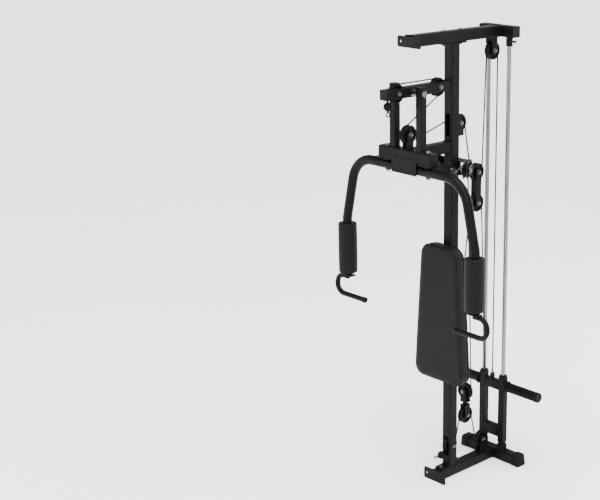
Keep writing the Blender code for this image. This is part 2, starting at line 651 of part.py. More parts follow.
def build_swivel_bracket(side, sign, pin, low, high):
    centre = swivel_centre(sign)
    ahead = swivel_ahead(sign)
    axis = Z_AXIS.cross(ahead)
    back = SWIVEL_REACH - 0.011
    bracket = None
    for tag, way in (("a", 1), ("b", -1)):
        middle = centre + axis * way * (EAR_GAP + EAR / 2)
        ear = slab(f"swivel_ear_{side}_{tag}" if bracket else f"swivel_bracket_{side}",
                   ear_outline(0.040, back), middle, -Z_AXIS, -ahead, EAR,
                   None if bracket else "black_paint")
        bracket = fuse(bracket, ear) if bracket else ear
    fuse(bracket, ring(f"swivel_sleeve_{side}", pin, Z_AXIS, low, high, 0.0115, 0.0063, sides=20))
    web = slab(f"swivel_web_{side}", [(0.0095, -0.020), (0.0145, -0.020), (0.0145, 0.020), (0.0095, 0.020)],
               pin + Z_AXIS * centre.z, ahead, Z_AXIS, 2 * (EAR_GAP + EAR))
    fuse(bracket, web, *bolt_tools(f"swivel_bolt_{side}", centre, axis, EAR_GAP + EAR))
    pulley(f"pulley_swivel_{side}", centre, axis)


# ---------------------------------------------------------------- floating blocks
def build_blocks():
    top, low = in_plane(UPPER_BLOCK_TOP), in_plane(UPPER_BLOCK_LOW)
    half, span = 0.017, top.z - low.z
    outline = [(half * math.cos(math.radians(a)), span + half * math.sin(math.radians(a)))
               for a in range(0, 181, 20)]
    outline += [(half * math.cos(math.radians(a)), half * math.sin(math.radians(a)))
                for a in range(180, 361, 20)]
    block = None
    for tag, sign in (("a", 1), ("b", -1)):
        middle = low + Y_AXIS * sign * (EAR_GAP + EAR / 2)
        plate = slab(f"upper_block_plate_{tag}" if block else "upper_block", outline, middle,
                     X_AXIS, Z_AXIS, EAR, None if block else "black_paint")
        block = fuse(block, plate) if block else plate
    for tag, centre in (("top", top), ("low", low)):
        fuse(block, *bolt_tools(f"upper_block_bolt_{tag}", centre, Y_AXIS, EAR_GAP + EAR))
        pulley(f"pulley_upper_block_{tag}", centre)
    top, low = in_plane(LOWER_BLOCK_TOP), in_plane(LOWER_BLOCK_LOW)
    reach = 0.0525
    block = u_bracket("lower_block", top, X_AXIS, -Z_AXIS, reach)
    fuse(block, u_bracket("lower_block_lower_u", low, Y_AXIS, Z_AXIS, reach, slot=None))
    fuse(block, rod("lower_block_bolt", (low.x, 0, 0), Z_AXIS, low.z + reach - 0.002, top.z - reach + 0.002,
                    0.008, 16))
    pulley("pulley_lower_block_top", top, X_AXIS)
    pulley("pulley_lower_block_low", low)


# ---------------------------------------------------------------- weight carriage
def build_carriage():
    post_low, post_high, bush_top = SEAT_TOP + FIT, 0.430, 0.437
    carriage = tube("carriage_frame", (ROD_X, ROD_Y, post_low), Z_AXIS, post_high - post_low, SLIDE_TUBE)
    fuse(carriage, tube("carriage_post_right", (ROD_X, -ROD_Y, post_low), Z_AXIS, post_high - post_low,
                        SLIDE_TUBE, slot=None))
    inner = ROD_Y - SLIDE_TUBE / 2 + 0.001
    for tag, level, height in (("upper", 0.382, 0.046), ("lower", 0.1425, 0.055)):
        fuse(carriage, prism(f"carriage_{tag}_bar", rounded_outline(0.036, height, 0.006),
                             (ROD_X, -inner, level), Y_AXIS, 2 * inner))
    for side, sign in SIDES:
        place = (ROD_X, sign * ROD_Y, 0)
        horn = (ROD_X, 0, HORN_Z)
        outer = ROD_Y + SLIDE_TUBE / 2 - 0.001
        fuse(carriage, ring(f"carriage_bush_{side}", place, Z_AXIS, post_high - 0.001, bush_top, 0.019,
                            ROD_R + 0.0005, sides=20))
        fuse(carriage, rod(f"weight_horn_{side}", horn, Y_AXIS * sign, outer, HORN_END, HORN_R, 24))
        fuse(carriage, rod(f"horn_disc_{side}", horn, Y_AXIS * sign, 0.086, 0.093, HORN_R + 0.004, 24))
    eye_x = TOP_PULLEY[0] - WRAP_R
    eye_height = 0.036
    eye = slab("lift_eye", rounded_outline(0.028, eye_height, 0.010), (eye_x, 0, LIFT_EYE_TOP - eye_height / 2),
               X_AXIS, Z_AXIS, 0.008)
    fuse(carriage, eye)


# ---------------------------------------------------------------- pad, hooks and anchor
def pad_outline():
    corner_top, corner_low = 0.062, 0.050
    lean = math.atan2(PAD_HALF_BOTTOM - PAD_HALF_TOP, PAD_TOP - PAD_BOTTOM)
    points = []
    for centre, radius, start, end in (
            ((PAD_HALF_BOTTOM - corner_low, PAD_BOTTOM + corner_low), corner_low, -90, math.degrees(lean)),
            ((PAD_HALF_TOP - corner_top, PAD_TOP - corner_top), corner_top, math.degrees(lean), 90)):
        for i in range(7):
            angle = math.radians(start + (end - start) * i / 6)
            points.append((centre[0] + radius * math.cos(angle), centre[1] + radius * math.sin(angle)))
    return points + [(-y, z) for y, z in reversed(points)]


def build_pad():
    back = TUBE / 2 + FIT
    slab("back_pad", pad_outline(), ((back + PAD_FRONT) / 2, 0, 0), Y_AXIS, Z_AXIS, PAD_FRONT - back, "vinyl")


def build_hooks():
    hook = ball("lat_hook", (LAT_BALL_X, 0, LAT_BALL_Z), BALL_R, "rubber")
    fuse(hook, rod("lat_stem", (LAT_BALL_X, 0, LAT_BALL_Z), -Z_AXIS, 0.010, 0.026, 0.003, 10),
         torus("lat_ring", (LAT_BALL_X, 0, LAT_BALL_Z - 0.0335), Y_AXIS, 0.0095, 0.0025))
    low_z = LOW_PULLEY[1] - WRAP_R
    hook = ball("low_hook", (LOW_BALL_X, 0, low_z), BALL_R, "rubber")
    fuse(hook, rod("low_stem", (LOW_BALL_X, 0, low_z), X_AXIS, 0.010, 0.026, 0.003, 10),
         torus("low_ring", (LOW_BALL_X + 0.0335, 0, low_z), Z_AXIS, 0.0095, 0.0025))
    face = -TUBE / 2 - FIT
    anchor = box("cable_anchor", (face - 0.004, -0.011, ANCHOR_Z - 0.018), (face, 0.011, ANCHOR_Z + 0.018),
                 "zinc")
    fuse(anchor, rod("cable_anchor_post", (face, 0, ANCHOR_Z), -X_AXIS, 0.003, 0.030, 0.005, 14))
    fuse(anchor, rod("cable_anchor_head", (face, 0, ANCHOR_Z), -X_AXIS, 0.029, 0.034, 0.009, 14))


# ---------------------------------------------------------------- cables
def tangent_route(start, wheels, end, step=15):
    """Taut line in the middle plane: start, round each (centre, way), end.

    way is 1 where the cable turns to its left and -1 where it turns to its right.
    """
    stations = [(Vector(start), 0.0, 1)]
    stations += [(Vector(centre), WRAP_R, way) for centre, way in wheels]
    stations.append((Vector(end), 0.0, 1))
    legs = []
    for (c1, r1, w1), (c2, r2, w2) in zip(stations, stations[1:]):
        gap = c2 - c1
        lean = math.asin((w2 * r2 - w1 * r1) / gap.length)
        angle = math.atan2(gap.y, gap.x) - lean
        right = Vector((math.sin(angle), -math.cos(angle)))
        legs.append((c1 + right * (w1 * r1), c2 + right * (w2 * r2)))
    points = [legs[0][0]]
    for k, (centre, way) in enumerate(wheels):
        centre = Vector(centre)
        first, last = legs[k][1] - centre, legs[k + 1][0] - centre
        a0 = math.atan2(first.y, first.x)
        sweep = (math.atan2(last.y, last.x) - a0) * way % math.tau * way
        count = max(2, math.ceil(math.degrees(abs(sweep)) / step))
        for i in range(count + 1):
            angle = a0 + sweep * i / count
            points.append(centre + Vector((math.cos(angle), math.sin(angle))) * WRAP_R)
    points.append(legs[-1][1])
    return [Vector((p.x, 0, p.y)) for p in points]


def cable(name, points):
    curve = bpy.data.curves.new(name, "CURVE")
    curve.dimensions = "3D"
    curve.bevel_depth = CABLE_R
    curve.bevel_resolution = 2
    curve.use_fill_caps = True
    spline = curve.splines.new("POLY")
    spline.points.add(len(points) - 1)
    for slot, point in zip(spline.points, points):
        slot.co = (*point, 1)
    curve.materials.append(make_material(f"{name}_cover", *FINISHES["cable_cover"]))
    item = bpy.data.objects.new(name, curve)
    bpy.context.collection.objects.link(item)


def fly_cable_half(sign):
    """From the cam, over the swivel pulley and down to the block's pulley."""
    top = swivel_centre(sign) + Z_AXIS * WRAP_R
    pin = Vector((PRESS_X, sign * FLY_Y, top.z))
    reach = pin - top
    lean = math.atan2(reach.y, reach.x) + sign * math.asin(CAM_WRAP_R / reach.length)
    away = Vector((math.sin(lean) * -sign, math.cos(lean) * sign, 0))
    points = [pin + away * CAM_WRAP_R]
    ahead = swivel_ahead(sign)
    for degrees in range(90, 181, 15):
        angle = math.radians(degrees)
        spoke = ahead * math.cos(angle) + Z_AXIS * math.sin(angle)
        points.append(swivel_centre(sign) + spoke * WRAP_R)
    return points


def build_cables():
    start = (TOP_PULLEY[0] - WRAP_R, LIFT_EYE_TOP + FIT)
    end = (LAT_BALL_X, LAT_BALL_Z + BALL_R + CABLE_R)
    cable("press_cable", tangent_route(start, (
        (TOP_PULLEY, -1), (UPPER_BLOCK_TOP, 1), (REAR_PULLEY, -1), (PRESS_PULLEY, 1),
        (BOOM_REAR_PULLEY, -1), (BOOM_FRONT_PULLEY, -1)), end))
    low_z = LOW_PULLEY[1] - WRAP_R
    cable("low_cable", tangent_route((LOW_BALL_X - BALL_R - FIT, low_z), (
        (LOW_PULLEY, -1), (LOWER_BLOCK_LOW, 1), (BASE_PULLEY, -1), (UPPER_BLOCK_LOW, -1)),
        (-0.042, ANCHOR_Z + 0.006)))
    centre = in_plane(LOWER_BLOCK_TOP)
    under = [centre + Vector((0, math.cos(math.radians(a)), -math.sin(math.radians(a)))) * WRAP_R
             for a in range(0, 181, 15)]
    cable("fly_cable", fly_cable_half(1) + under + fly_cable_half(-1)[::-1])


def pivots():
    """Where each moving piece turns or slides, measured from the upright."""
    turning = {
        "pulley_top": TOP_PULLEY, "pulley_base": BASE_PULLEY, "pulley_rear": REAR_PULLEY,
        "pulley_low": LOW_PULLEY, "pulley_boom_rear": BOOM_REAR_PULLEY, "pulley_boom_front": BOOM_FRONT_PULLEY,
        "pulley_press": PRESS_PULLEY, "pulley_upper_block_top": UPPER_BLOCK_TOP,
        "pulley_upper_block_low": UPPER_BLOCK_LOW, "pulley_lower_block_top": LOWER_BLOCK_TOP,
        "pulley_lower_block_low": LOWER_BLOCK_LOW, "upper_block": UPPER_BLOCK_TOP,
        "lower_block": LOWER_BLOCK_TOP, "carriage_frame": (ROD_X, SEAT_TOP),
    }
    table = {name: in_plane(point) for name, point in turning.items()}
    table["lat_hook"] = Vector((LAT_BALL_X, 0, LAT_BALL_Z))
    table["low_hook"] = Vector((LOW_BALL_X, 0, LOW_PULLEY[1] - WRAP_R))
    for name in ("press_cross_tube", "press_post_left", "press_post_right", "press_pulley_bracket",
                 "fly_pin_left", "fly_pin_right"):
        table[name] = Vector((PRESS_X, 0, BOOM_Z))
    for side, sign in SIDES:
        table[f"swivel_bracket_{side}"] = Vector((SWIVEL_PIN[0], sign * SWIVEL_PIN[1], SWIVEL_Z))
        table[f"pulley_swivel_{side}"] = swivel_centre(sign)
        for name in ("fly_arm", "foam_grip", "press_handle"):
            table[f"{name}_{side}"] = Vector((PRESS_X, sign * FLY_Y, ARM_Z))
    return table


def set_origins():
    """Put each moving piece's origin on its joint, and the footprint's middle at the origin."""
    table = pivots()
    shift = Vector((-CENTRE, 0, 0))
    for item in bpy.data.objects:
        pivot = table.get(item.name, Vector((0, 0, 0)))
        item.data.transform(Matrix.Translation(-pivot))
        item.location = pivot + shift


clear_scene()
build_base()
build_upright()
build_top()
build_fixed_pulleys()
build_boom()
build_press_frame()
for arm_side, arm_sign in SIDES:
    build_fly_arm(arm_side, arm_sign)
build_swivels()
build_blocks()
build_carriage()
build_pad()
build_hooks()
build_cables()
set_origins()
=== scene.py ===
"""Looks of the multi station home gym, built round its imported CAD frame."""
import json
import math

import bmesh
import bpy
import numpy as np
from mathutils import Matrix, Vector


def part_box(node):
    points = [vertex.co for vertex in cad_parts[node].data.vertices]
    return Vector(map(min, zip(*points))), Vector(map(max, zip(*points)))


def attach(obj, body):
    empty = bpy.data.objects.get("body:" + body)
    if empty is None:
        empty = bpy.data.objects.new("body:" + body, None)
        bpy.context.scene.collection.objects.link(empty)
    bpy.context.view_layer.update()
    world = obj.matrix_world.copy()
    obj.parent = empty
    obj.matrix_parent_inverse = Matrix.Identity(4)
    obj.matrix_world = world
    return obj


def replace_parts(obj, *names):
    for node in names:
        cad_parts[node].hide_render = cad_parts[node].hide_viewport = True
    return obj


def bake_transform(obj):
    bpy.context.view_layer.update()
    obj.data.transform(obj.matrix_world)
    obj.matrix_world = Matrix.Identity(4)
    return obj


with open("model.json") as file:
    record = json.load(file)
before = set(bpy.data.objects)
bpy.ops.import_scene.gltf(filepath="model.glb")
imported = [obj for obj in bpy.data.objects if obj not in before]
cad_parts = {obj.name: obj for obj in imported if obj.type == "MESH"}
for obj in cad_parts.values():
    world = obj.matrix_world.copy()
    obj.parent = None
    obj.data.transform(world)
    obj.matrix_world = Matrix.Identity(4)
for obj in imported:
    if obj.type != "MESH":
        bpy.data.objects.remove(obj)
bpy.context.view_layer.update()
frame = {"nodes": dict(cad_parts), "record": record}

X, Y, Z = Vector((1, 0, 0)), Vector((0, 1, 0)), Vector((0, 0, 1))
SIDES = (("left", 1), ("right", -1))


def centre(node):
    low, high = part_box(node)
    return (low + high) / 2


# ---- materials
def node_material(name, metallic=0.0, **sockets):
    """A Principled material, its node tree, its shader and its object coordinates."""
    material = bpy.data.materials.new(name)
    material.use_nodes = True
    tree = material.node_tree
    shader = tree.nodes["Principled BSDF"]
    shader.inputs["Metallic"].default_value = metallic
    for socket, value in sockets.items():
        shader.inputs[socket.replace("_", " ")].default_value = value
    place = tree.nodes.new("ShaderNodeTexCoord")
    return material, tree, shader, place.outputs["Object"]


def noise(tree, where, scale, detail=3.0, stretch=None):
    if stretch:
        mapping = tree.nodes.new("ShaderNodeMapping")
        mapping.inputs["Scale"].default_value = stretch
        tree.links.new(where, mapping.inputs["Vector"])
        where = mapping.outputs["Vector"]
    texture = tree.nodes.new("ShaderNodeTexNoise")
    texture.inputs["Scale"].default_value = scale
    texture.inputs["Detail"].default_value = detail
    tree.links.new(where, texture.inputs["Vector"])
    return texture.outputs["Fac"]


def ramp(tree, factor, stops):
    node = tree.nodes.new("ShaderNodeValToRGB")
    while len(node.color_ramp.elements) < len(stops):
        node.color_ramp.elements.new(0.5)
    for element, (position, colour) in zip(node.color_ramp.elements, stops):
        element.position = position
        element.color = (*colour, 1)
    tree.links.new(factor, node.inputs["Fac"])
    return node.outputs["Color"]


def grey_ramp(tree, factor, low, high, start=0.3, end=0.7):
    return ramp(tree, factor, [(start, (low,) * 3), (end, (high,) * 3)])


def tint(tree, shader, factor, dark, light, start=0.35, end=0.65):
    """Base colour that drifts between two tones."""
    tree.links.new(ramp(tree, factor, [(start, dark), (end, light)]), shader.inputs["Base Color"])


def roughen(tree, shader, factor, low, high):
    tree.links.new(grey_ramp(tree, factor, low, high), shader.inputs["Roughness"])


def bump(tree, shader, height, strength, distance, under=None):
    node = tree.nodes.new("ShaderNodeBump")
    node.inputs["Strength"].default_value = strength
    node.inputs["Distance"].default_value = distance
    tree.links.new(height, node.inputs["Height"])
    if under:
        tree.links.new(under, node.inputs["Normal"])
    tree.links.new(node.outputs["Normal"], shader.inputs["Normal"])
    return node.outputs["Normal"]


def powder_coat():
    """Satin black powder coat: an even tone with a fine orange peel."""
    material, tree, shader, where = node_material("powder_coat", Specular_IOR_Level=0.065)
    tint(tree, shader, noise(tree, where, 9, 4), (0.0020, 0.0020, 0.0021), (0.0031, 0.0031, 0.0033))
    roughen(tree, shader, noise(tree, where, 34, 5), 0.38, 0.50)
    peel = bump(tree, shader, noise(tree, where, 620, 2), 0.16, 0.0006)
    bump(tree, shader, noise(tree, where, 150, 2), 0.05, 0.0012, peel)
    return material


def polished_steel():
    """Drawn guide rods, with faint streaks along their length."""
    material, tree, shader, where = node_material("polished_steel", 1.0, Anisotropic=0.35)
    streak = noise(tree, where, 260, 4, (1, 1, 0.03))
    tint(tree, shader, streak, (0.13, 0.123, 0.116), (0.25, 0.238, 0.226), 0.3, 0.7)
    roughen(tree, shader, noise(tree, where, 90, 5, (1, 1, 0.08)), 0.20, 0.34)
    bump(tree, shader, streak, 0.04, 0.0003)
    return material


def zinc_plate():
    """Bright fasteners with a cloudy bloom."""
    material, tree, shader, where = node_material("zinc_plate", 1.0)
    tint(tree, shader, noise(tree, where, 210, 5), (0.070, 0.069, 0.066), (0.15, 0.148, 0.143), 0.3, 0.7)
    roughen(tree, shader, noise(tree, where, 480, 4), 0.18, 0.36)
    bump(tree, shader, noise(tree, where, 900, 3), 0.08, 0.0003)
    return material


def moulded_plastic(name="moulded_nylon", tone=0.0018, rough=(0.32, 0.44)):
    material, tree, shader, where = node_material(name, Specular_IOR_Level=0.08)
    tint(tree, shader, noise(tree, where, 26, 3), (tone,) * 3, (tone * 1.45,) * 3)
    roughen(tree, shader, noise(tree, where, 120, 4), *rough)
    bump(tree, shader, noise(tree, where, 1400, 2), 0.10, 0.0003)
    return material


def rubber():
    material, tree, shader, where = node_material("rubber", Specular_IOR_Level=0.06)
    tint(tree, shader, noise(tree, where, 40, 4), (0.0026,) * 3, (0.0039,) * 3)
    roughen(tree, shader, noise(tree, where, 240, 4), 0.55, 0.70)
    bump(tree, shader, noise(tree, where, 1100, 3), 0.22, 0.0004)
    return material


def foam_rubber():
    """Closed-cell foam: a matt skin pricked with fine cells."""
    material, tree, shader, where = node_material("foam_rubber", Specular_IOR_Level=0.085, Sheen_Weight=0.003,
                                                  Sheen_Roughness=0.55)
    tint(tree, shader, noise(tree, where, 55, 5), (0.0028, 0.0028, 0.0029), (0.0035, 0.0035, 0.0037))
    roughen(tree, shader, noise(tree, where, 300, 4), 0.50, 0.62)
    cells = tree.nodes.new("ShaderNodeTexVoronoi")
    cells.inputs["Scale"].default_value = 780
    tree.links.new(where, cells.inputs["Vector"])
    pores = bump(tree, shader, cells.outputs["Distance"], 0.22, 0.0005)
    bump(tree, shader, noise(tree, where, 110, 3), 0.05, 0.0010, pores)
    return material


def vinyl():
    """Grained upholstery vinyl: small pebbles parted by creases."""
    material, tree, shader, where = node_material("vinyl", Specular_IOR_Level=0.08, Sheen_Weight=0.003)
    tint(tree, shader, noise(tree, where, 12, 5), (0.0030, 0.0030, 0.0032), (0.0040, 0.0040, 0.0042))
    roughen(tree, shader, noise(tree, where, 160, 5), 0.46, 0.60)
    pebbles = tree.nodes.new("ShaderNodeTexVoronoi")
    pebbles.feature = "DISTANCE_TO_EDGE"
    pebbles.inputs["Scale"].default_value = 620
    tree.links.new(where, pebbles.inputs["Vector"])
    creases = grey_ramp(tree, pebbles.outputs["Distance"], 0.0, 1.0, 0.0, 0.22)
    grain = bump(tree, shader, creases, 0.30, 0.0004)
    bump(tree, shader, noise(tree, where, 48, 4), 0.10, 0.002, grain)
    return material


def cable_sheath():
    material, tree, shader, where = node_material("cable_sheath", Specular_IOR_Level=0.06)
    tint(tree, shader, noise(tree, where, 70, 3), (0.0018,) * 3, (0.0028,) * 3)
    roughen(tree, shader, noise(tree, where, 500, 3), 0.30, 0.42)
    bump(tree, shader, noise(tree, where, 1500, 2), 0.12, 0.0003)
    return material


PAINT, ROD_STEEL, ZINC = powder_coat(), polished_steel(), zinc_plate()
NYLON, RUBBER, FOAM = moulded_plastic(), rubber(), foam_rubber()
VINYL, SHEATH = vinyl(), cable_sheath()
CAP_PLASTIC = moulded_plastic("cap_plastic", 0.0024, (0.42, 0.55))
PIPING = moulded_plastic("piping_vinyl", 0.0034, (0.36, 0.48))


# ---- mesh tools
def piece(name, mesh_data, material, body=None, smooth=32):
    """Scene object from finished mesh data; edges sharper than the smooth angle stay sharp."""
    bmesh.ops.recalc_face_normals(mesh_data, faces=mesh_data.faces)
    mesh = bpy.data.meshes.new(name)
    mesh_data.to_mesh(mesh)
    mesh_data.free()
    mesh.shade_smooth()
    mesh.set_sharp_from_angle(angle=math.radians(smooth))
    mesh.materials.append(material)
    item = bpy.data.objects.new(name, mesh)
    bpy.context.collection.objects.link(item)
    if body:
        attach(item, body)
    return item


def frame_of(axis):
    """Matrix that turns local Z to an axis."""
    axis = axis.normalized()
    side = Z.cross(axis) if abs(axis.z) < 0.9 else X.copy()
    side = (side - axis * side.dot(axis)).normalized()
    return Matrix((side, axis.cross(side), axis)).transposed()


def add_loop(mesh_data, points):
    return [mesh_data.verts.new(point) for point in points]


def bridge(mesh_data, first, second):
    for i in range(len(first)):
        j = (i + 1) % len(first)
        mesh_data.faces.new((first[i], first[j], second[j], second[i]))


def skin(mesh_data, loops, ring=False):
    """Faces between neighbouring loops; the ends are capped, or joined into a ring."""
    for first, second in zip(loops, loops[1:]):
        bridge(mesh_data, first, second)
    if ring:
        bridge(mesh_data, loops[-1], loops[0])
    else:
        mesh_data.faces.new(loops[0])
        mesh_data.faces.new(loops[-1])


def turned_loops(mesh_data, profile, place, axis, sides):
    """A loop of vertices about the axis for each (radius, height) point."""
    turn = frame_of(axis)
    spokes = [Vector((math.cos(a), math.sin(a), 0)) for a in (math.tau * i / sides for i in range(sides))]
    return [add_loop(mesh_data, [place + turn @ (spoke * radius + Z * height) for spoke in spokes])
            for radius, height in profile]


def add_bar(mesh_data, profile, place, axis, sides=48):
    """Solid turned bar with flat ends."""
    skin(mesh_data, turned_loops(mesh_data, profile, place, axis, sides))


def add_ring(mesh_data, profile, place, axis, sides=48):
    """Turned ring: the profile is a closed outline clear of the axis."""
    skin(mesh_data, turned_loops(mesh_data, profile, place, axis, sides), ring=True)


def arc_points(centre_u, centre_v, radius, start, end, steps):
    """Points on an arc, between two angles in degrees."""
    return [(centre_u + radius * math.cos(math.radians(start + (end - start) * i / steps)),
             centre_v + radius * math.sin(math.radians(start + (end - start) * i / steps)))
            for i in range(steps + 1)]


def rounded_outline(width, height, radius, steps=5):
    points = []
    for sign_u, sign_v, start in ((1, 1, 0), (-1, 1, 90), (-1, -1, 180), (1, -1, 270)):
        points += arc_points(sign_u * (width / 2 - radius), sign_v * (height / 2 - radius), radius,
                             start, start + 90, steps)
    return points


def add_plate(mesh_data, outline, place, axis_u, axis_v, thickness, chamfer=0.0006):
    """Plate with softened edges, from an outline of (u, v) about a middle plane."""
    normal = axis_u.cross(axis_v).normalized()
    middle = Vector((sum(p[0] for p in outline), sum(p[1] for p in outline))) / len(outline)
    loops = []
    for height, inset in ((-0.5, chamfer), (-0.5, 0), (0.5, 0), (0.5, chamfer)):
        lift = thickness * height + (chamfer if height < 0 else -chamfer) * (inset == 0)
        loop = []
        for u, v in outline:
            pull = (Vector((u, v)) - middle).normalized() * inset
            loop.append(place + axis_u * (u - pull.x) + axis_v * (v - pull.y) + normal * lift)
        loops.append(add_loop(mesh_data, loop))
    skin(mesh_data, loops)


def add_sweep(mesh_data, points, radius, sides=12, closed=False):
    """Round bar along a list of points; radius is a number or one per point."""
    count = len(points)
    radii = radius if isinstance(radius, list) else [radius] * count
    last_side = None
    loops = []
    for i, point in enumerate(points):
        before = points[i - 1] if i or closed else points[0]
        after = points[(i + 1) % count] if i < count - 1 or closed else points[-1]
        ahead = (after - before).normalized()
        side = last_side or frame_of(ahead).col[0]
        side = (side - ahead * side.dot(ahead)).normalized()
        last_side = side
        up = ahead.cross(side)
        loops.append(add_loop(mesh_data, [point + (side * math.cos(a) + up * math.sin(a)) * radii[i]
                                          for a in (math.tau * k / sides for k in range(sides))]))
    skin(mesh_data, loops, closed)


# ---- sizes shared by the details
TUBE, BOOM_TUBE, POST_TUBE = 0.050, 0.045, 0.035
COLUMN = centre("upright").x
ARM_Z, ARM_R, LEG_Y = 1.536, 0.0215, 0.396       # fly arm: bar height, bar radius, leg offset
WRAP_R, WHEEL_WIDTH, CABLE_R = 0.037, 0.020, 0.0031
WHEEL_R, GROOVE_R = 0.041, 0.0328
CAM_CABLE_R = 0.108       # cable round a fly arm's cam
HORN_R = 0.0235
EAR_OUTER = 0.0163        # outer face of a pulley bracket's ear
CAD_HEAD = 0.0065         # height of the bolt heads in the frame
GAP = 0.0003              # between pieces that touch
PULLEYS = sorted(node for node in frame["nodes"] if node.startswith("pulley_"))


def pulley_axis(node):
    """Axis along X or Y, or for the swivel wheels from how far their box widens as they lean."""
    low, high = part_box(node)
    size = high - low
    if size.x < WHEEL_WIDTH + 0.005:
        return X.copy()
    if size.y < WHEEL_WIDTH + 0.005:
        return Y.copy()
    sign = 1 if centre(node).y > 0 else -1
    lean = math.asin(size.y / math.hypot(size.z, WHEEL_WIDTH)) - math.atan2(WHEEL_WIDTH, size.z)
    return Vector((-sign * math.sin(lean), math.cos(lean), 0))


# ---- pulleys and fasteners
def build_pulleys():
    """Moulded wheels: deep groove, dished web with six ribs, and a pressed-in bearing."""
    half = WHEEL_WIDTH / 2
    rim = [(WHEEL_R - 0.0005, -half), (WHEEL_R, 0.0006 - half), (WHEEL_R, 0.0020 - half), (0.0340, -0.0028)]
    floor = [(GROOVE_R, -0.0013), (GROOVE_R, 0.0013)]
    outer = rim + floor + [(radius, -offset) for radius, offset in reversed(rim)]
    web = [(0.0345, 0.0100), (0.0335, 0.0092), (0.0325, 0.0045), (0.0150, 0.0040), (0.0140, 0.0090),
           (0.0132, 0.0104), (0.0060, 0.0104)]
    profile = outer + web + [(radius, -offset) for radius, offset in reversed(web)]
    rib = [(0.0138, 0.0035), (0.0330, 0.0035), (0.0330, 0.0068), (0.0138, 0.0085)]
    for node in PULLEYS:
        axis = pulley_axis(node)
        place = centre(node)
        turn = frame_of(axis)
        mesh_data = bmesh.new()
        add_ring(mesh_data, profile, place, axis, 64)
        for i in range(6):
            angle = math.tau * (i + 0.5) / 6
            spoke = turn @ Vector((math.cos(angle), math.sin(angle), 0))
            for side in (1, -1):
                add_plate(mesh_data, [(u, v * side) for u, v in rib], place, spoke, axis, 0.0022, 0.0003)
        tag = node.removeprefix("pulley_")
        wheel = piece(f"wheel_{tag}", mesh_data, NYLON, f"{node}_body")
        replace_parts(wheel, node)
        bearing = bmesh.new()
        for side in (1, -1):
            add_ring(bearing, [(0.0056, 0.0100), (0.0118, 0.0100), (0.0118, 0.0108), (0.0056, 0.0108)], place,
                     axis * side, 40)
        piece(f"bearing_{tag}", bearing, ZINC, f"{node}_body")


def add_washer(mesh_data, place, axis, radius):
    profile = [(radius - 0.0004, 0.0), (radius, 0.0004), (radius, 0.0013), (radius - 0.0004, 0.0017)]
    add_bar(mesh_data, profile, place, axis, 32)


def bolt_parts(mesh_data, place, axis, size, height, washer=0.0108):
    """Washer, chamfered hexagon head and a low dome, standing on a face."""
    add_washer(mesh_data, place, axis, washer)
    hexagon = [(size, 0.0015), (size, height - 0.0010), (size * 0.90, height)]
    add_bar(mesh_data, hexagon, place, axis, 6)
    dome = [(size * 0.84, height - 0.0002), (size * 0.80, height + 0.0003), (size * 0.5, height + 0.0006)]
    add_bar(mesh_data, dome, place, axis, 32)


def nut_parts(mesh_data, place, axis, size, height, washer=0.0108):
    """Locking nut: washer, hexagon, collar and the bolt's end."""
    add_washer(mesh_data, place, axis, washer)
    hexagon = [(size, 0.0015), (size, height - 0.0018), (size * 0.88, height - 0.0010)]
    add_bar(mesh_data, hexagon, place, axis, 6)
    collar = [(size * 0.80, height - 0.0012), (size * 0.78, height + 0.0004), (size * 0.66, height + 0.0010)]
    add_bar(mesh_data, collar, place, axis, 32)
    end = [(size * 0.50, height), (size * 0.50, height + 0.0016), (size * 0.40, height + 0.0022)]
    add_bar(mesh_data, end, place, axis, 24)


def pair(name, body, place, axis, half):
    """Bolt head on one side and locking nut on the other, over the frame's plain ones."""
    size, height = 0.0098, CAD_HEAD + 0.0004
    mesh_data = bmesh.new()
    bolt_parts(mesh_data, place + axis * half, axis, size, height)
    nut_parts(mesh_data, place - axis * half, -axis, size, height)
    piece(name, mesh_data, ZINC, body, 25)


def build_axle_bolts():
    body_of_axle = {"press": "press_frame", "upper_block_top": "upper_block_body",
                    "upper_block_low": "upper_block_body", "lower_block_top": "lower_block_body",
                    "lower_block_low": "lower_block_body", "swivel_left": "swivel_left",
                    "swivel_right": "swivel_right"}
    half_of_axle = {"boom_rear": BOOM_TUBE / 2, "boom_front": BOOM_TUBE / 2, "low": TUBE / 2}
    for node in PULLEYS:
        tag = node.removeprefix("pulley_")
        axis = pulley_axis(node)
        if axis.y > 0.5:
            axis = -axis
        pair(f"axle_bolt_{tag}", body_of_axle.get(tag, "frame"), centre(node), axis,
             half_of_axle.get(tag, EAR_OUTER))


def build_frame_bolts():
    """Bolts through the flanges at the head and the foot of the upright."""
    beam_low, beam_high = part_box("top_beam")
    base_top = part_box("base_beam")[1].z
    flange, size, top_reach, foot_reach = 0.0060, 0.0085, 0.051, 0.056
    mesh_data = bmesh.new()
    for side in (-1, 1):
        top = Vector((COLUMN + side * top_reach, 0, beam_high.z))
        bolt_parts(mesh_data, top, Z, size, 0.0058, 0.0112)
        nut_parts(mesh_data, Vector((top.x, 0, beam_low.z - GAP - flange)), -Z, size, 0.0062)
        foot = Vector((COLUMN + side * foot_reach, 0, base_top + GAP + flange))
        bolt_parts(mesh_data, foot, Z, size, 0.0058, 0.0112)
    piece("flange_bolts", mesh_data, ZINC, "frame", 25)


def recolour_frame():
    """Give the frame's own pieces the materials of their slots."""
    by_slot = {"black_paint": PAINT, "steel": ROD_STEEL, "zinc": ZINC, "pulley_plastic": NYLON,
               "rubber": RUBBER, "foam": FOAM, "vinyl": VINYL, "cable_cover": SHEATH}
    for entry in frame["record"]["subparts"]:
        node = frame["nodes"][entry["node"]]
        node.data.materials.clear()
        node.data.materials.append(by_slot[entry["material_slot"]])


# ---- cables
def flat(node):
    place = centre(node)
    return Vector((place.x, place.z))


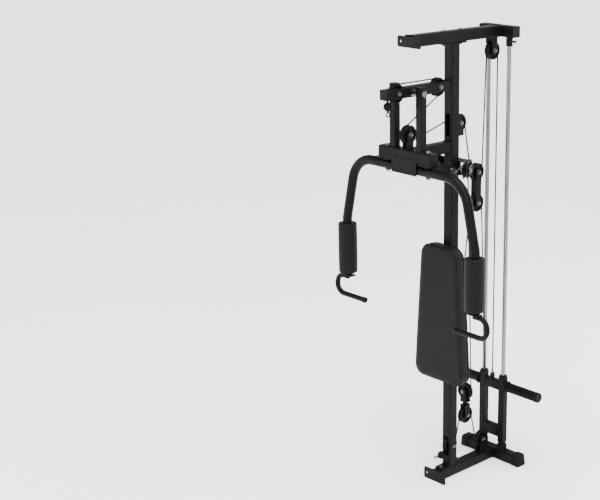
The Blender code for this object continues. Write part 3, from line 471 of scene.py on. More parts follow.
def straight_legs(stations):
    """Tangent lines between (centre, radius, way); way is 1 for a left turn, -1 for a right one."""
    legs = []
    for (c1, r1, w1), (c2, r2, w2) in zip(stations, stations[1:]):
        gap = c2 - c1
        angle = math.atan2(gap.y, gap.x) - math.asin((w2 * r2 - w1 * r1) / gap.length)
        right = Vector((math.sin(angle), -math.cos(angle)))
        legs.append((c1 + right * (w1 * r1), c2 + right * (w2 * r2)))
    return legs


def strand(name, start, end, bodies, node):
    """Straight length between two tangent points; it moves with its body when both ends share one, and stays
    fixed otherwise.
    """
    mesh_data = bmesh.new()
    add_sweep(mesh_data, [start, end], CABLE_R, 14)
    if bodies[0] == bodies[1]:
        item = piece(name, mesh_data, SHEATH, bodies[0], 60)
    else:
        item = piece(name, mesh_data, SHEATH, None, 60)
        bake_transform(item)
    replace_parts(item, node)


def wrap(name, points, body, node):
    """Bent length that lies on a wheel or a cam and moves with one body."""
    mesh_data = bmesh.new()
    add_sweep(mesh_data, points, CABLE_R, 14)
    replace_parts(piece(name, mesh_data, SHEATH, body, 60), node)


def run_cable(node, stations, bodies):
    """Whole cable in the middle plane, as straight strands and wraps."""
    legs = straight_legs(stations)
    for k, (start, end) in enumerate(legs):
        points = [Vector((p.x, 0, p.y)) for p in (start, end)]
        strand(f"{node}_strand_{k + 1}", points[0], points[1], bodies[k:k + 2], node)
    for k in range(1, len(stations) - 1):
        hub, radius, way = stations[k]
        first, last = legs[k - 1][1] - hub, legs[k][0] - hub
        a0 = math.atan2(first.y, first.x)
        sweep = (math.atan2(last.y, last.x) - a0) * way % math.tau * way
        count = max(3, math.ceil(abs(sweep) / math.radians(6)))
        angles = [a0 + sweep * i / count for i in range(count + 1)]
        points = [Vector((hub.x + radius * math.cos(a), 0, hub.y + radius * math.sin(a))) for a in angles]
        wrap(f"{node}_wrap_{k}", points, bodies[k], node)


def build_flat_cables():
    """The two cables that run in the middle plane."""
    top, block_top, rear = flat("pulley_top"), flat("pulley_upper_block_top"), flat("pulley_rear")
    press, boom_rear, boom_front = flat("pulley_press"), flat("pulley_boom_rear"), flat("pulley_boom_front")
    eye = Vector((top.x - WRAP_R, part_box("carriage_frame")[1].z - 0.002))
    hook = Vector((centre("lat_hook").x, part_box("lat_hook")[1].z - 0.002))
    run_cable("press_cable",
              [(eye, 0, 1), (top, WRAP_R, -1), (block_top, WRAP_R, 1), (rear, WRAP_R, -1),
               (press, WRAP_R, 1), (boom_rear, WRAP_R, -1), (boom_front, WRAP_R, -1), (hook, 0, 1)],
              ["carriage", "frame", "upper_block_body", "frame",
               "press_frame", "frame", "frame", "lat_hook_body"])
    low, lower, base = flat("pulley_low"), flat("pulley_lower_block_low"), flat("pulley_base")
    upper = flat("pulley_upper_block_low")
    start = Vector((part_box("low_hook")[0].x + 0.002, low.y - WRAP_R))
    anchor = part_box("cable_anchor")
    end = Vector((anchor[0].x + 0.012, centre("cable_anchor").z + 0.006))
    run_cable("low_cable",
              [(start, 0, 1), (low, WRAP_R, -1), (lower, WRAP_R, 1), (base, WRAP_R, -1), (upper, WRAP_R, -1),
               (end, 0, 1)],
              ["low_hook_body", "frame", "lower_block_body", "frame", "upper_block_body", "frame"])


def build_fly_cable():
    """From the left cam over its swivel wheel, under the lower block's wheel, and up to the right cam."""
    hub = centre("pulley_lower_block_top")
    for side, sign in SIDES:
        wheel = centre(f"pulley_swivel_{side}")
        ahead = pulley_axis(f"pulley_swivel_{side}").cross(Z)
        angles = [math.radians(90 + 6 * i) for i in range(16)]
        points = [wheel + (ahead * math.cos(a) + Z * math.sin(a)) * WRAP_R for a in angles]
        wrap(f"fly_cable_swivel_{side}", points, f"swivel_{side}", "fly_cable")
        rim = hub + Y * sign * WRAP_R
        strand(f"fly_cable_drop_{side}", points[-1], rim, ["frame", "lower_block_body"], "fly_cable")
        pin = centre(f"fly_pin_{side}")
        pin.z = points[0].z
        reach = pin - points[0]
        lean = math.atan2(reach.y, reach.x) + sign * math.asin(CAM_CABLE_R / reach.length)
        away = Vector((-sign * math.sin(lean), sign * math.cos(lean), 0))
        touch = pin + away * CAM_CABLE_R
        strand(f"fly_cable_pull_{side}", touch, points[0], ["press_frame", "frame"], "fly_cable")
        start = math.atan2(away.y, away.x)
        turns = [start - sign * math.radians(2 * i) for i in range(6)]
        points = [pin + Vector((math.cos(a), math.sin(a), 0)) * CAM_CABLE_R for a in turns]
        wrap(f"fly_cable_cam_{side}", points, f"fly_{side}", "fly_cable")
    under = [math.pi * i / 30 for i in range(31)]
    points = [hub + (Y * math.cos(a) - Z * math.sin(a)) * WRAP_R for a in under]
    wrap("fly_cable_block", points, "lower_block_body", "fly_cable")


# ---- back pad
def pad_outline(inset):
    """Tapered pad outline in (y, z), pulled in by an inset."""
    steps = 10
    low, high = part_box("back_pad")
    taper = 0.115 / 0.153
    half_low, half_top = high.y, high.y * taper
    corner_low, corner_top = 0.050, 0.062
    lean = math.atan2(half_low - half_top, high.z - low.z)
    points = arc_points(half_low - corner_low, low.z + corner_low, corner_low - inset,
                        -90, math.degrees(lean), steps)
    points += arc_points(half_top - corner_top, high.z - corner_top, corner_top - inset,
                         math.degrees(lean), 90, steps)
    return points + [(-y, z) for y, z in reversed(points)]


SIDEWAYS = 0.15           # share of the cloth's sideways shift that the cushion keeps


def puff(item, pinned_below, cap):
    """Inflate a closed mesh with cloth; its back and sides, up to a given x, stay drawn on the board."""
    frames = 20
    count = len(item.data.vertices)
    rest = np.empty(count * 3)
    item.data.vertices.foreach_get("co", rest)
    rest = rest.reshape(-1, 3)
    held = item.vertex_groups.new(name="held")
    held.add([int(i) for i in np.where(rest[:, 0] < pinned_below)[0]], 1.0, "REPLACE")
    cloth = item.modifiers.new("cloth", "CLOTH")
    cloth.settings.use_pressure = True
    cloth.settings.uniform_pressure_force = 4
    cloth.settings.effector_weights.gravity = 0
    cloth.settings.vertex_group_mass = "held"
    cloth.settings.quality = 6
    cloth.point_cache.frame_end = frames
    for number in range(1, frames + 1):
        bpy.context.scene.frame_set(number)
    shape = item.evaluated_get(bpy.context.evaluated_depsgraph_get()).to_mesh()
    moved = np.empty(count * 3)
    shape.vertices.foreach_get("co", moved)
    step = moved.reshape(-1, 3) - rest
    step[:, 1:] *= SIDEWAYS
    length = np.linalg.norm(step, axis=1)
    step *= np.minimum(1, cap / np.maximum(length, 1e-9))[:, None]
    item.modifiers.remove(cloth)
    item.vertex_groups.remove(held)
    item.data.vertices.foreach_set("co", (rest + step).ravel())
    bpy.context.scene.frame_set(1)


def build_pad():
    """Plastic board, padded vinyl cushion and the piping round its front edge."""
    low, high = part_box("back_pad")
    board, swell, round_r, side_inset = 0.012, 0.0022, 0.0065, 0.0015
    mesh_data = bmesh.new()
    add_plate(mesh_data, pad_outline(0.004), Vector((low.x + board / 2, 0, 0)), Y, Z, board, 0.002)
    piece("pad_board", mesh_data, CAP_PLASTIC, "frame")
    mesh_data = bmesh.new()
    back, front = low.x + board + 2 * GAP, high.x - swell
    levels = [(back, side_inset + 0.003), (back + 0.004, side_inset)]
    for turn in (math.radians(15 * i) for i in range(7)):
        ahead, inward = round_r * math.sin(turn), round_r * (1 - math.cos(turn))
        levels.append((front - round_r + ahead, side_inset + inward))
    loops = [add_loop(mesh_data, [Vector((x, y, z)) for y, z in pad_outline(inset)]) for x, inset in levels]
    skin(mesh_data, loops)
    pad = piece("pad_cushion", mesh_data, VINYL)
    remesh = pad.modifiers.new("remesh", "REMESH")
    remesh.mode = "VOXEL"
    remesh.voxel_size = 0.005
    evaluated = pad.evaluated_get(bpy.context.evaluated_depsgraph_get())
    shape = bpy.data.meshes.new_from_object(evaluated)
    pad.modifiers.clear()
    pad.data = shape
    puff(pad, front - round_r, swell)
    pad.data.shade_smooth()
    finer = pad.modifiers.new("finer", "SUBSURF")
    finer.levels = 1
    finer.render_levels = 1
    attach(pad, "frame")
    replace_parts(pad, "back_pad")
    seam = [Vector((front - 0.0045, y, z)) for y, z in pad_outline(0.0022)]
    mesh_data = bmesh.new()
    add_sweep(mesh_data, seam, 0.0016, 8, closed=True)
    piece("pad_piping", mesh_data, PIPING, "frame", 60)


# ---- grips and handles
def build_grips():
    """Foam sleeves with rolled ends and a slight crown."""
    for side, _ in SIDES:
        low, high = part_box(f"foam_grip_{side}")
        middle = (low + high) / 2
        radius, bore, roll = (high.x - low.x) / 2, 0.0146, 0.007
        height = high.z - low.z
        outer = arc_points(radius - roll, roll, roll, -90, 0, 6)
        crown = [(radius + 0.0008 * math.sin(math.pi * t), roll + (height - 2 * roll) * t)
                 for t in (i / 12 for i in range(1, 12))]
        ends = arc_points(radius - roll, height - roll, roll, 0, 90, 6)
        recess = [(bore + 0.010, height), (bore + 0.008, height - 0.0015), (bore, height - 0.002)]
        foot = [(bore, 0.002), (bore + 0.008, 0.0015), (bore + 0.010, 0.0)]
        mesh_data = bmesh.new()
        add_ring(mesh_data, outer + crown + ends + recess + foot, Vector((middle.x, middle.y, low.z)), Z, 64)
        grip = piece(f"grip_{side}", mesh_data, FOAM, f"fly_{side}", 50)
        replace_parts(grip, f"foam_grip_{side}")


# ---- fly arms and handles
def bend(corners, radii):
    """Polyline with each inner corner rounded by an arc."""
    points = [corners[0]]
    for before, here, after, radius in zip(corners, corners[1:], corners[2:], radii):
        arrive, leave = (here - before).normalized(), (after - here).normalized()
        angle = arrive.angle(leave)
        inward = (leave - arrive * arrive.dot(leave)).normalized()
        hub = here - arrive * radius * math.tan(angle / 2) + inward * radius
        count = max(4, math.ceil(math.degrees(angle) / 4))
        for i in range(count + 1):
            turn = angle * i / count
            points.append(hub + (arrive * math.sin(turn) - inward * math.cos(turn)) * radius)
    return points + [corners[-1]]


def add_cam(mesh_data, pin, sign):
    """D-shaped cam: two thick cheeks parted by the cable groove."""
    rim, floor, front, sunk = CAM_CABLE_R + 0.010, CAM_CABLE_R - 0.0028, -0.012, 0.001
    half = [(0.0033, floor), (0.0043, rim), (0.0168, rim), (0.018, rim - 0.0012)]
    levels = [(-height, radius) for height, radius in reversed(half)] + half
    angles = [math.radians(-22 + 84 * i / 40) for i in range(41)]
    loops = []
    for height, radius in levels:
        outline = [(front, radius * math.sin(angles[0]))]
        outline += [(-radius * math.cos(a), radius * math.sin(a)) for a in angles]
        outline.append((front, radius * math.sin(angles[-1])))
        loops.append(add_loop(mesh_data, [pin + Vector((u, v * sign, height - sunk)) for u, v in outline]))
    skin(mesh_data, loops)


def build_fly_arm(side, sign, pin):
    """Bent round tube with its cam, the stub down through the grip, the inner plug and the cam's bolt."""
    body = f"fly_{side}"
    inner_end, stub_r = 0.012, 0.0125
    grip_low, grip_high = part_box(f"foam_grip_{side}")
    corners = [(inner_end, ARM_Z), (0.330, ARM_Z), (LEG_Y, 1.244), (LEG_Y, grip_high.z + GAP)]
    path = bend([Vector((pin.x, sign * y, z)) for y, z in corners], (0.130, 0.060))
    mesh_data = bmesh.new()
    add_sweep(mesh_data, path, ARM_R, 40)
    add_cam(mesh_data, pin, sign)
    leg = Vector((pin.x, sign * LEG_Y, 0))
    add_bar(mesh_data, [(stub_r, grip_low.z - 0.0105), (stub_r, grip_high.z + 0.004)], leg, Z, 32)
    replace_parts(piece(f"arm_{side}", mesh_data, PAINT, body, 40), f"fly_arm_{side}")
    mesh_data = bmesh.new()
    add_bar(mesh_data, [(ARM_R - 0.0022, 0.0), (ARM_R - 0.0010, -0.0012), (ARM_R - 0.0010, 0.004)],
            Vector((pin.x, sign * inner_end, ARM_Z)), Y * sign, 40)
    piece(f"arm_plug_{side}", mesh_data, CAP_PLASTIC, body, 40)
    angle, bolt_r = math.radians(54), 0.099
    bolt = pin + Vector((-math.cos(angle), sign * math.sin(angle), 0)) * bolt_r
    mesh_data = bmesh.new()
    bolt_parts(mesh_data, bolt + Z * 0.017, Z, 0.0078, 0.0052, 0.0098)
    nut_parts(mesh_data, bolt - Z * 0.019, -Z, 0.0078, 0.0052, 0.0098)
    piece(f"cam_bolt_{side}", mesh_data, ZINC, body, 25)


def build_fly_pivot(side, sign, pin):
    """Pin through the cross tube and the arm, the washer between them and the strap under the tube."""
    shank_r, sleeve_r, washer_r, size, height = 0.0080, 0.0105, 0.0208, 0.0104, 0.0078
    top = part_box("press_cross_tube")[1].z
    foot = Vector((pin.x, pin.y, ARM_Z - ARM_R - GAP))
    mesh_data = bmesh.new()
    add_bar(mesh_data, [(shank_r, 0.0), (shank_r, top - foot.z)], foot, Z, 40)
    add_bar(mesh_data, [(sleeve_r, 2 * ARM_R + 0.0008), (sleeve_r, top - TUBE - foot.z - GAP)], foot, Z, 40)
    bolt_parts(mesh_data, Vector((pin.x, pin.y, top)), Z, size, height, 0.0128)
    nut_parts(mesh_data, foot, -Z, size, height, 0.0128)
    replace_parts(piece(f"fly_bolt_{side}", mesh_data, ZINC, "press_frame", 25), f"fly_pin_{side}")
    gap = top - TUBE - ARM_Z - ARM_R
    bore, edge = sleeve_r + 0.0002, washer_r - 0.0008
    mesh_data = bmesh.new()
    add_ring(mesh_data, [(bore, 0.0004), (edge, 0.0004), (washer_r, 0.0012), (washer_r, gap - 0.0012),
                         (edge, gap - 0.0004), (bore, gap - 0.0004)], pin + Z * ARM_R, Z, 48)
    piece(f"fly_washer_{side}", mesh_data, NYLON, "press_frame", 40)
    strap, strap_y = 0.008, 0.114
    place = Vector((pin.x, sign * strap_y, top - TUBE - strap / 2))
    mesh_data = bmesh.new()
    add_plate(mesh_data, rounded_outline(0.046, 0.082, 0.004), place, X, Y, strap, 0.0008)
    piece(f"hinge_strap_{side}", mesh_data, PAINT, "press_frame", 40)


def build_fly_arms():
    for side, sign in SIDES:
        pin = centre(f"fly_pin_{side}")
        pin.z = ARM_Z
        build_fly_arm(side, sign, pin)
        build_fly_pivot(side, sign, pin)


def build_handles():
    """Bent bar handles under the grips, each hung from a small plate."""
    for side, sign in SIDES:
        low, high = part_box(f"press_handle_{side}")
        pin = centre(f"fly_pin_{side}")
        plate_top, plate_thick, radius, inner_y = 0.973, 0.005, 0.012, 0.280
        bar_z = low.z + radius
        outer_y = (high.y if sign > 0 else -low.y) - radius
        corners = [(LEG_Y, plate_top - radius), (outer_y, plate_top - radius), (outer_y, bar_z),
                   (inner_y, bar_z)]
        path = bend([Vector((pin.x, sign * y, z)) for y, z in corners], (0.044, 0.042))
        mesh_data = bmesh.new()
        add_sweep(mesh_data, path, radius, 32)
        plate = rounded_outline(0.036, 0.070, 0.006)
        middle = Vector((pin.x, sign * LEG_Y, plate_top - plate_thick / 2))
        add_plate(mesh_data, plate, middle, X, Y, plate_thick, 0.0008)
        handle = piece(f"handle_{side}", mesh_data, PAINT, f"fly_{side}", 40)
        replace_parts(handle, f"press_handle_{side}")
        mesh_data = bmesh.new()
        dome = [(radius + 0.0011, 0.018), (radius + 0.0014, 0.016)]
        dome += arc_points(radius - 0.0036, 0.0032, 0.0050, 0, -80, 6)
        add_bar(mesh_data, dome, Vector((pin.x, sign * inner_y, bar_z)), Y * sign, 40)
        piece(f"handle_cap_{side}", mesh_data, CAP_PLASTIC, f"fly_{side}", 50)
        mesh_data = bmesh.new()
        for shift in (-0.026, 0.026):
            bolt = Vector((pin.x, sign * (LEG_Y + shift), plate_top))
            bolt_parts(mesh_data, bolt, Z, 0.0068, 0.0050, 0.0088)
        piece(f"handle_bolts_{side}", mesh_data, ZINC, f"fly_{side}", 25)


# ---- tube ends, feet and rods
def add_plug(mesh_data, place, axis, width, height):
    """Plastic insert closing a square tube, standing 1.5 mm proud of its end."""
    across = {0: (Y, Z), 1: (Z, X), 2: (X, Y)}[max(range(3), key=lambda i: abs(axis[i]))]
    outline = rounded_outline(width - 0.0010, height - 0.0010, 0.0048)
    add_plate(mesh_data, outline, place + axis * 0.0004, *across, 0.0022, 0.0008)


def build_plugs():
    mesh_data = bmesh.new()
    low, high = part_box("boom")
    add_plug(mesh_data, Vector((high.x, 0, (low.z + high.z) / 2)), X, BOOM_TUBE, BOOM_TUBE)
    low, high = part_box("top_cross_tube")
    for sign in (-1, 1):
        place = Vector(((low.x + high.x) / 2, sign * high.y, high.z - TUBE / 2))
        add_plug(mesh_data, place, Y * sign, TUBE, TUBE)
    piece("frame_plugs", mesh_data, CAP_PLASTIC, "frame", 40)
    mesh_data = bmesh.new()
    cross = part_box("press_cross_tube")[1]
    for side, sign in SIDES:
        pivot = centre(f"fly_pin_{side}").x
        add_plug(mesh_data, Vector((pivot, sign * cross.y, cross.z - TUBE / 2)), Y * sign, TUBE, TUBE)
        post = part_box(f"press_post_{side}")
        head = Vector((pivot, (post[0].y + post[1].y) / 2, post[1].z))
        add_plug(mesh_data, head, Z, POST_TUBE, POST_TUBE)
    piece("press_plugs", mesh_data, CAP_PLASTIC, "press_frame", 40)


def build_feet():
    """Moulded end caps of the foot tube, flared towards the floor, with a rolled rim."""
    flare, slant = 0.10, 0.008
    for side, sign in SIDES:
        low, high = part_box(f"foot_cap_{side}")
        inner, outer = (low.y, high.y) if sign > 0 else (high.y, low.y)
        length = abs(outer - inner)
        place = Vector(((low.x + high.x) / 2, inner, (low.z + high.z) / 2))
        levels = [(0.0, 0.0035), (0.0010, 0.0012), (0.0030, 0.0), (0.0055, 0.0), (0.0075, 0.0012),
                  (length - 0.0120, 0.0004), (length - 0.0050, 0.0010), (length - 0.0015, 0.0035),
                  (length, 0.0090)]
        mesh_data = bmesh.new()
        loops = []
        for along, inset in levels:
            width, height = high.x - low.x - 2 * inset, high.z - low.z - 2 * inset
            loop = []
            for u, v in rounded_outline(width, height, 0.011 - inset * 0.5):
                drop = 0.5 - v / height
                lean = sign * (along + slant * drop * along / length)
                loop.append(place + Vector((u * (1 + flare * drop * along / length), lean, v)))
            loops.append(add_loop(mesh_data, loop))
        skin(mesh_data, loops)
        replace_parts(piece(f"foot_{side}", mesh_data, RUBBER, "frame", 40), f"foot_cap_{side}")


def build_rods():
    """Guide rods with chamfered ends, and the stepped rubber seats they stand in."""
    for side, _ in SIDES:
        low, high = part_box(f"guide_rod_{side}")
        place = Vector(((low.x + high.x) / 2, (low.y + high.y) / 2, low.z))
        radius, height, chamfer = (high.x - low.x) / 2, high.z - low.z, 0.0006
        mesh_data = bmesh.new()
        add_bar(mesh_data, [(radius - chamfer, 0.0), (radius, chamfer), (radius, height - chamfer),
                            (radius - chamfer, height)], place, Z, 56)
        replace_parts(piece(f"rod_{side}", mesh_data, ROD_STEEL, "frame", 40), f"guide_rod_{side}")
        seat_low, seat_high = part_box(f"rod_seat_{side}")
        rise, wide, bore = seat_high.z - seat_low.z, (seat_high.x - seat_low.x) / 2, radius + GAP
        profile = [(bore, 0.0), (wide, 0.0), (wide, 0.0235), (wide - 0.0012, 0.0250), (wide - 0.0045, 0.0256),
                   (wide - 0.0052, rise - 0.0020), (wide - 0.0070, rise), (bore, rise)]
        mesh_data = bmesh.new()
        add_ring(mesh_data, profile, place, Z, 56)
        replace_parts(piece(f"seat_{side}", mesh_data, RUBBER, "frame", 40), f"rod_seat_{side}")


# ---- carriage fittings
def build_carriage_fittings():
    """Funnel caps and lower lips of the sliding posts, dressing of the weight horns, and the lift ferrule."""
    low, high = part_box("carriage_frame")
    rod_x, post_top, horn_z, bore = centre("guide_rod_left").x, 0.430, 0.385, 0.0106
    horn_start, collar_y, sleeve_r = 0.078, 0.0855, HORN_R + 0.0002
    funnel = [(bore, -0.002), (0.0170, -0.002), (0.0195, 0.0), (0.0200, 0.0035), (0.0192, 0.0075),
              (0.0165, 0.0082), (bore, 0.0040)]
    lip = [(bore, 0.003), (0.0150, 0.003), (0.0166, 0.0018), (0.0166, 0.0002), (bore, 0.0002)]
    cap = [(HORN_R + 0.0007, 0.004), (HORN_R + 0.0011, 0.005), (HORN_R + 0.0011, 0.015)]
    cap += arc_points(HORN_R - 0.0015, 0.0190, 0.0026, 0, 150, 6)
    cap += [(HORN_R - 0.0046, 0.0168), (HORN_R - 0.0060, 0.0160)]
    collar = [(HORN_R, 0.0), (HORN_R + 0.0048, 0.0004), (HORN_R + 0.0052, 0.0012), (HORN_R + 0.0052, 0.0066),
              (HORN_R + 0.0046, 0.0074), (HORN_R, 0.0078)]
    mesh_data = bmesh.new()
    for side, sign in SIDES:
        rod_y = centre(f"guide_rod_{side}").y
        add_ring(mesh_data, funnel, Vector((rod_x, rod_y, post_top)), Z, 48)
        add_ring(mesh_data, lip, Vector((rod_x, rod_y, low.z)), Z, 48)
        add_bar(mesh_data, cap, Vector((rod_x, sign * (high.y - 0.020), horn_z)), Y * sign, 56)
        add_ring(mesh_data, collar, Vector((rod_x, sign * collar_y, horn_z)), Y * sign, 56)
    piece("carriage_fittings", mesh_data, CAP_PLASTIC, "carriage", 40)
    mesh_data = bmesh.new()
    for sign in (1, -1):
        add_bar(mesh_data, [(sleeve_r, 0.0), (sleeve_r, high.y - 0.018 - horn_start)],
                Vector((rod_x, sign * horn_start, horn_z)), Y * sign, 56)
    piece("horn_sleeves", mesh_data, PAINT, "carriage", 40)
    mesh_data = bmesh.new()
    eye = Vector((centre("pulley_top").x - WRAP_R, 0, high.z))
    add_bar(mesh_data, [(0.0048, -0.003), (0.0056, -0.001), (0.0056, 0.012), (0.0044, 0.015)], eye, Z, 32)
    piece("lift_ferrule", mesh_data, ZINC, "carriage", 40)


def build_block_swivel():
    """Turned barrel and washers between the two halves of the lower block."""
    upper, lower = centre("pulley_lower_block_top"), centre("pulley_lower_block_low")
    middle = (upper + lower) / 2
    mesh_data = bmesh.new()
    half = [(0.0105, 0.0024), (0.0128, 0.0030), (0.0128, 0.0072), (0.0120, 0.0080)]
    profile = [(radius, -height) for radius, height in reversed(half)] + half
    add_bar(mesh_data, profile, middle, Z, 48)
    piece("block_swivel", mesh_data, PAINT, "lower_block_body", 40)


# ---- hooks
def build_hooks():
    """Two-part stop balls, each with a steel stem and a ring for a snap hook."""
    ball_r = 0.019
    groove_r = ball_r - 0.0007
    lat_low, lat_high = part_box("lat_hook")
    lat_place = Vector(((lat_low.x + lat_high.x) / 2, 0, lat_high.z - ball_r))
    low_place = Vector((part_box("low_hook")[0].x + ball_r, 0, centre("low_hook").z))
    for name, place, way, ring_axis in (("lat", lat_place, -Z, Y), ("low", low_place, X, Z)):
        profile = arc_points(0, 0, ball_r, -84, -7, 11)
        profile += [(ball_r, -0.0009), (groove_r, -0.0004), (groove_r, 0.0004), (ball_r, 0.0009)]
        profile += arc_points(0, 0, ball_r, 7, 84, 11)
        mesh_data = bmesh.new()
        add_bar(mesh_data, profile, place, way, 48)
        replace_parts(piece(f"{name}_ball", mesh_data, RUBBER, f"{name}_hook_body", 40), f"{name}_hook")
        mesh_data = bmesh.new()
        stem = [(0.0046, 0.0170), (0.0050, 0.0180), (0.0050, 0.0215), (0.0034, 0.0228), (0.0030, 0.0260)]
        add_bar(mesh_data, stem, place, way, 32)
        ferrule = [(0.0042, -0.0260), (0.0050, -0.0250), (0.0050, -0.0180), (0.0046, -0.0170)]
        add_bar(mesh_data, ferrule, place, way, 32)
        ring_r, wire_r, reach = 0.0095, 0.0025, 0.0335
        hub = place + way * reach
        other = ring_axis.cross(way)
        turns = [math.tau * i / 48 for i in range(48)]
        loop = [hub + (way * math.cos(a) + other * math.sin(a)) * ring_r for a in turns]
        add_sweep(mesh_data, loop, wire_r, 16, closed=True)
        piece(f"{name}_ring", mesh_data, PAINT, f"{name}_hook_body", 40)


# ---- pivots and welds
def build_pivots():
    """Press pivot with plain round heads, and the swivel pins' bolts."""
    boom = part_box("boom")
    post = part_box("press_post_left")
    place = Vector((centre("fly_pin_left").x, 0, (boom[0].z + boom[1].z) / 2))
    outer, inner, half = post[1].y + GAP, post[0].y - GAP, BOOM_TUBE / 2 + GAP
    head_r, shank_r = 0.0140, 0.008
    head = [(shank_r, outer), (head_r, outer), (head_r, outer + 0.0052), (head_r - 0.0014, outer + 0.0066)]
    profile = [(radius, -along) for radius, along in reversed(head)] + head
    bush = [(head_r - 0.0004, half), (head_r, half + 0.0004), (head_r, inner - 0.0004),
            (head_r - 0.0004, inner)]
    mesh_data = bmesh.new()
    add_bar(mesh_data, profile, place, Y, 48)
    for sign in (-1, 1):
        add_bar(mesh_data, bush, place, Y * sign, 48)
    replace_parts(piece("press_pivot", mesh_data, ZINC, "frame", 40), "press_pivot_bolt")
    pin_behind, pin_y, pin_z, pin_half = 0.068, 0.047, 1.4930, 0.0280
    for side, sign in SIDES:
        pin = Vector((COLUMN - pin_behind, sign * pin_y, pin_z))
        pair(f"swivel_pin_{side}", "frame", pin, Z, pin_half)


def add_bead(mesh_data, place, axis_u, axis_v, width, height):
    """Rippled weld bead round a square tube where it meets a face."""
    corners = rounded_outline(width + 0.0006, height + 0.0006, 0.0055, 4)
    path = []
    for (u0, v0), (u1, v1) in zip(corners, corners[1:] + corners[:1]):
        count = max(1, round(math.hypot(u1 - u0, v1 - v0) / 0.0025))
        path += [(u0 + (u1 - u0) * i / count, v0 + (v1 - v0) * i / count) for i in range(count)]
    radii = [0.0023 + 0.00035 * math.sin(i * 1.9) + 0.0002 * math.sin(i * 0.37) for i in range(len(path))]
    add_sweep(mesh_data, [place + axis_u * u + axis_v * v for u, v in path], radii, 8, closed=True)


def build_welds():
    """Beads at the ends of the beams, at the boom, the stop beam and the column, and at the posts' feet."""
    boom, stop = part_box("boom"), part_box("stop_beam")
    base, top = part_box("base_beam"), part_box("top_beam")
    cross_front, foot_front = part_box("top_cross_tube")[1].x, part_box("foot_tube")[1].x
    floor_lift, flange = 0.0012, 0.006
    mesh_data = bmesh.new()
    add_bead(mesh_data, Vector((boom[0].x, 0, (boom[0].z + boom[1].z) / 2)), Y, Z, BOOM_TUBE, BOOM_TUBE)
    add_bead(mesh_data, Vector((stop[0].x, 0, (stop[0].z + stop[1].z) / 2)), Y, Z, BOOM_TUBE, TUBE)
    for beam, start, lift in ((base, foot_front, floor_lift), (top, cross_front, 0.0)):
        for x in (start, beam[1].x):
            add_bead(mesh_data, Vector((x, 0, (beam[0].z + beam[1].z + lift) / 2)), Y, Z, TUBE, TUBE - lift)
    for z in (base[1].z + GAP + flange, top[0].z - GAP - flange):
        add_bead(mesh_data, Vector((COLUMN, 0, z)), X, Y, TUBE, TUBE)
    piece("frame_welds", mesh_data, PAINT, "frame", 60)
    mesh_data = bmesh.new()
    for side, _ in SIDES:
        post = centre(f"press_post_{side}")
        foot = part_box(f"press_post_{side}")[0].z
        add_bead(mesh_data, Vector((post.x, post.y, foot)), X, Y, POST_TUBE, POST_TUBE)
    piece("press_welds", mesh_data, PAINT, "press_frame", 60)


# ---- camera, light and floor
def build_stage():
    """Pale floor that runs far out on all sides."""
    material, tree, shader, where = node_material("studio_floor", Specular_IOR_Level=0.2)
    tint(tree, shader, noise(tree, where, 1.5, 3), (0.93,) * 3, (0.95,) * 3, 0.3, 0.7)
    roughen(tree, shader, noise(tree, where, 20, 3), 0.75, 0.85)
    mesh_data = bmesh.new()
    bmesh.ops.create_grid(mesh_data, x_segments=4, y_segments=4, size=60)
    mesh = bpy.data.meshes.new("floor")
    mesh_data.to_mesh(mesh)
    mesh_data.free()
    mesh.materials.append(material)
    floor = bpy.data.objects.new("floor", mesh)
    bpy.context.collection.objects.link(floor)


def build_sky():
    """White surround, about as bright as the floor at the horizon and dimmer overhead."""
    horizon, overhead, fade_start, fade_end = 2.5, 0.40, 0.06, 0.30
    world = bpy.data.worlds.new("studio")
    bpy.context.scene.world = world
    world.use_nodes = True
    tree = world.node_tree
    tree.nodes["Background"].inputs["Color"].default_value = (1, 1, 1, 1)
    split = tree.nodes.new("ShaderNodeSeparateXYZ")
    tree.links.new(tree.nodes.new("ShaderNodeTexCoord").outputs["Generated"], split.inputs["Vector"])
    fade = tree.nodes.new("ShaderNodeMapRange")
    for socket, value in (("From Min", fade_start), ("From Max", fade_end), ("To Min", horizon),
                          ("To Max", overhead)):
        fade.inputs[socket].default_value = value
    tree.links.new(split.outputs["Z"], fade.inputs["Value"])
    tree.links.new(fade.outputs["Result"], tree.nodes["Background"].inputs["Strength"])


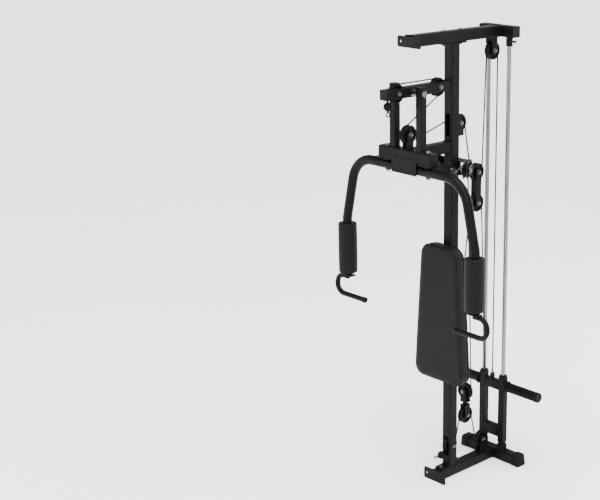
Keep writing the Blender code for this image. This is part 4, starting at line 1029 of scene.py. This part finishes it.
def area_light(name, place, aim, size, power):
    data = bpy.data.lights.new(name, "AREA")
    data.shape = "RECTANGLE"
    data.size, data.size_y = size
    data.energy = power
    lamp = bpy.data.objects.new(name, data)
    bpy.context.collection.objects.link(lamp)
    lamp.location = place
    lamp.rotation_euler = (Vector(aim) - Vector(place)).to_track_quat("-Z", "Y").to_euler()


def build_lights():
    """A wide soft sun from above, and three area lights aimed at the middle of the gym."""
    middle = (0, 0, 1.1)
    data = bpy.data.lights.new("overhead", "SUN")
    data.energy = 8.0
    data.angle = math.radians(50)
    sun = bpy.data.objects.new("overhead", data)
    bpy.context.collection.objects.link(sun)
    sun.rotation_euler = (math.radians(-12), math.radians(14), 0)
    area_light("key", (2.2, 3.6, 3.6), middle, (2.4, 2.4), 210)
    area_light("fill", (3.8, -2.4, 2.2), middle, (2.2, 2.6), 110)
    area_light("back", (-3.2, 0.6, 2.8), middle, (1.6, 2.6), 110)


def build_camera():
    """Front left of the user, looking slightly down through a long lens."""
    azimuth, elevation, roll = (math.radians(a) for a in (133.53, 17.04, 0.45))
    distance = 5.94
    aim = Vector((COLUMN - 0.045, 0, 1.0449))
    back = Vector((math.sin(azimuth) * math.cos(elevation), -math.cos(azimuth) * math.cos(elevation),
                   math.sin(elevation)))
    data = bpy.data.cameras.new("camera")
    data.sensor_width = 36
    data.lens = 78.19
    data.shift_x, data.shift_y = -0.2627, 0.0212
    camera = bpy.data.objects.new("camera", data)
    bpy.context.collection.objects.link(camera)
    turn = (-back).to_track_quat("-Z", "Y").to_matrix() @ Matrix.Rotation(roll, 3, "Z")
    camera.matrix_world = Matrix.Translation(aim + back * distance) @ turn.to_4x4()
    bpy.context.scene.camera = camera


recolour_frame()
build_pulleys()
build_axle_bolts()
build_frame_bolts()
build_flat_cables()
build_fly_cable()
build_pad()
build_grips()
build_fly_arms()
build_handles()
build_plugs()
build_feet()
build_rods()
build_carriage_fittings()
build_block_swivel()
build_hooks()
build_pivots()
build_welds()
build_stage()
build_sky()
build_lights()
build_camera()
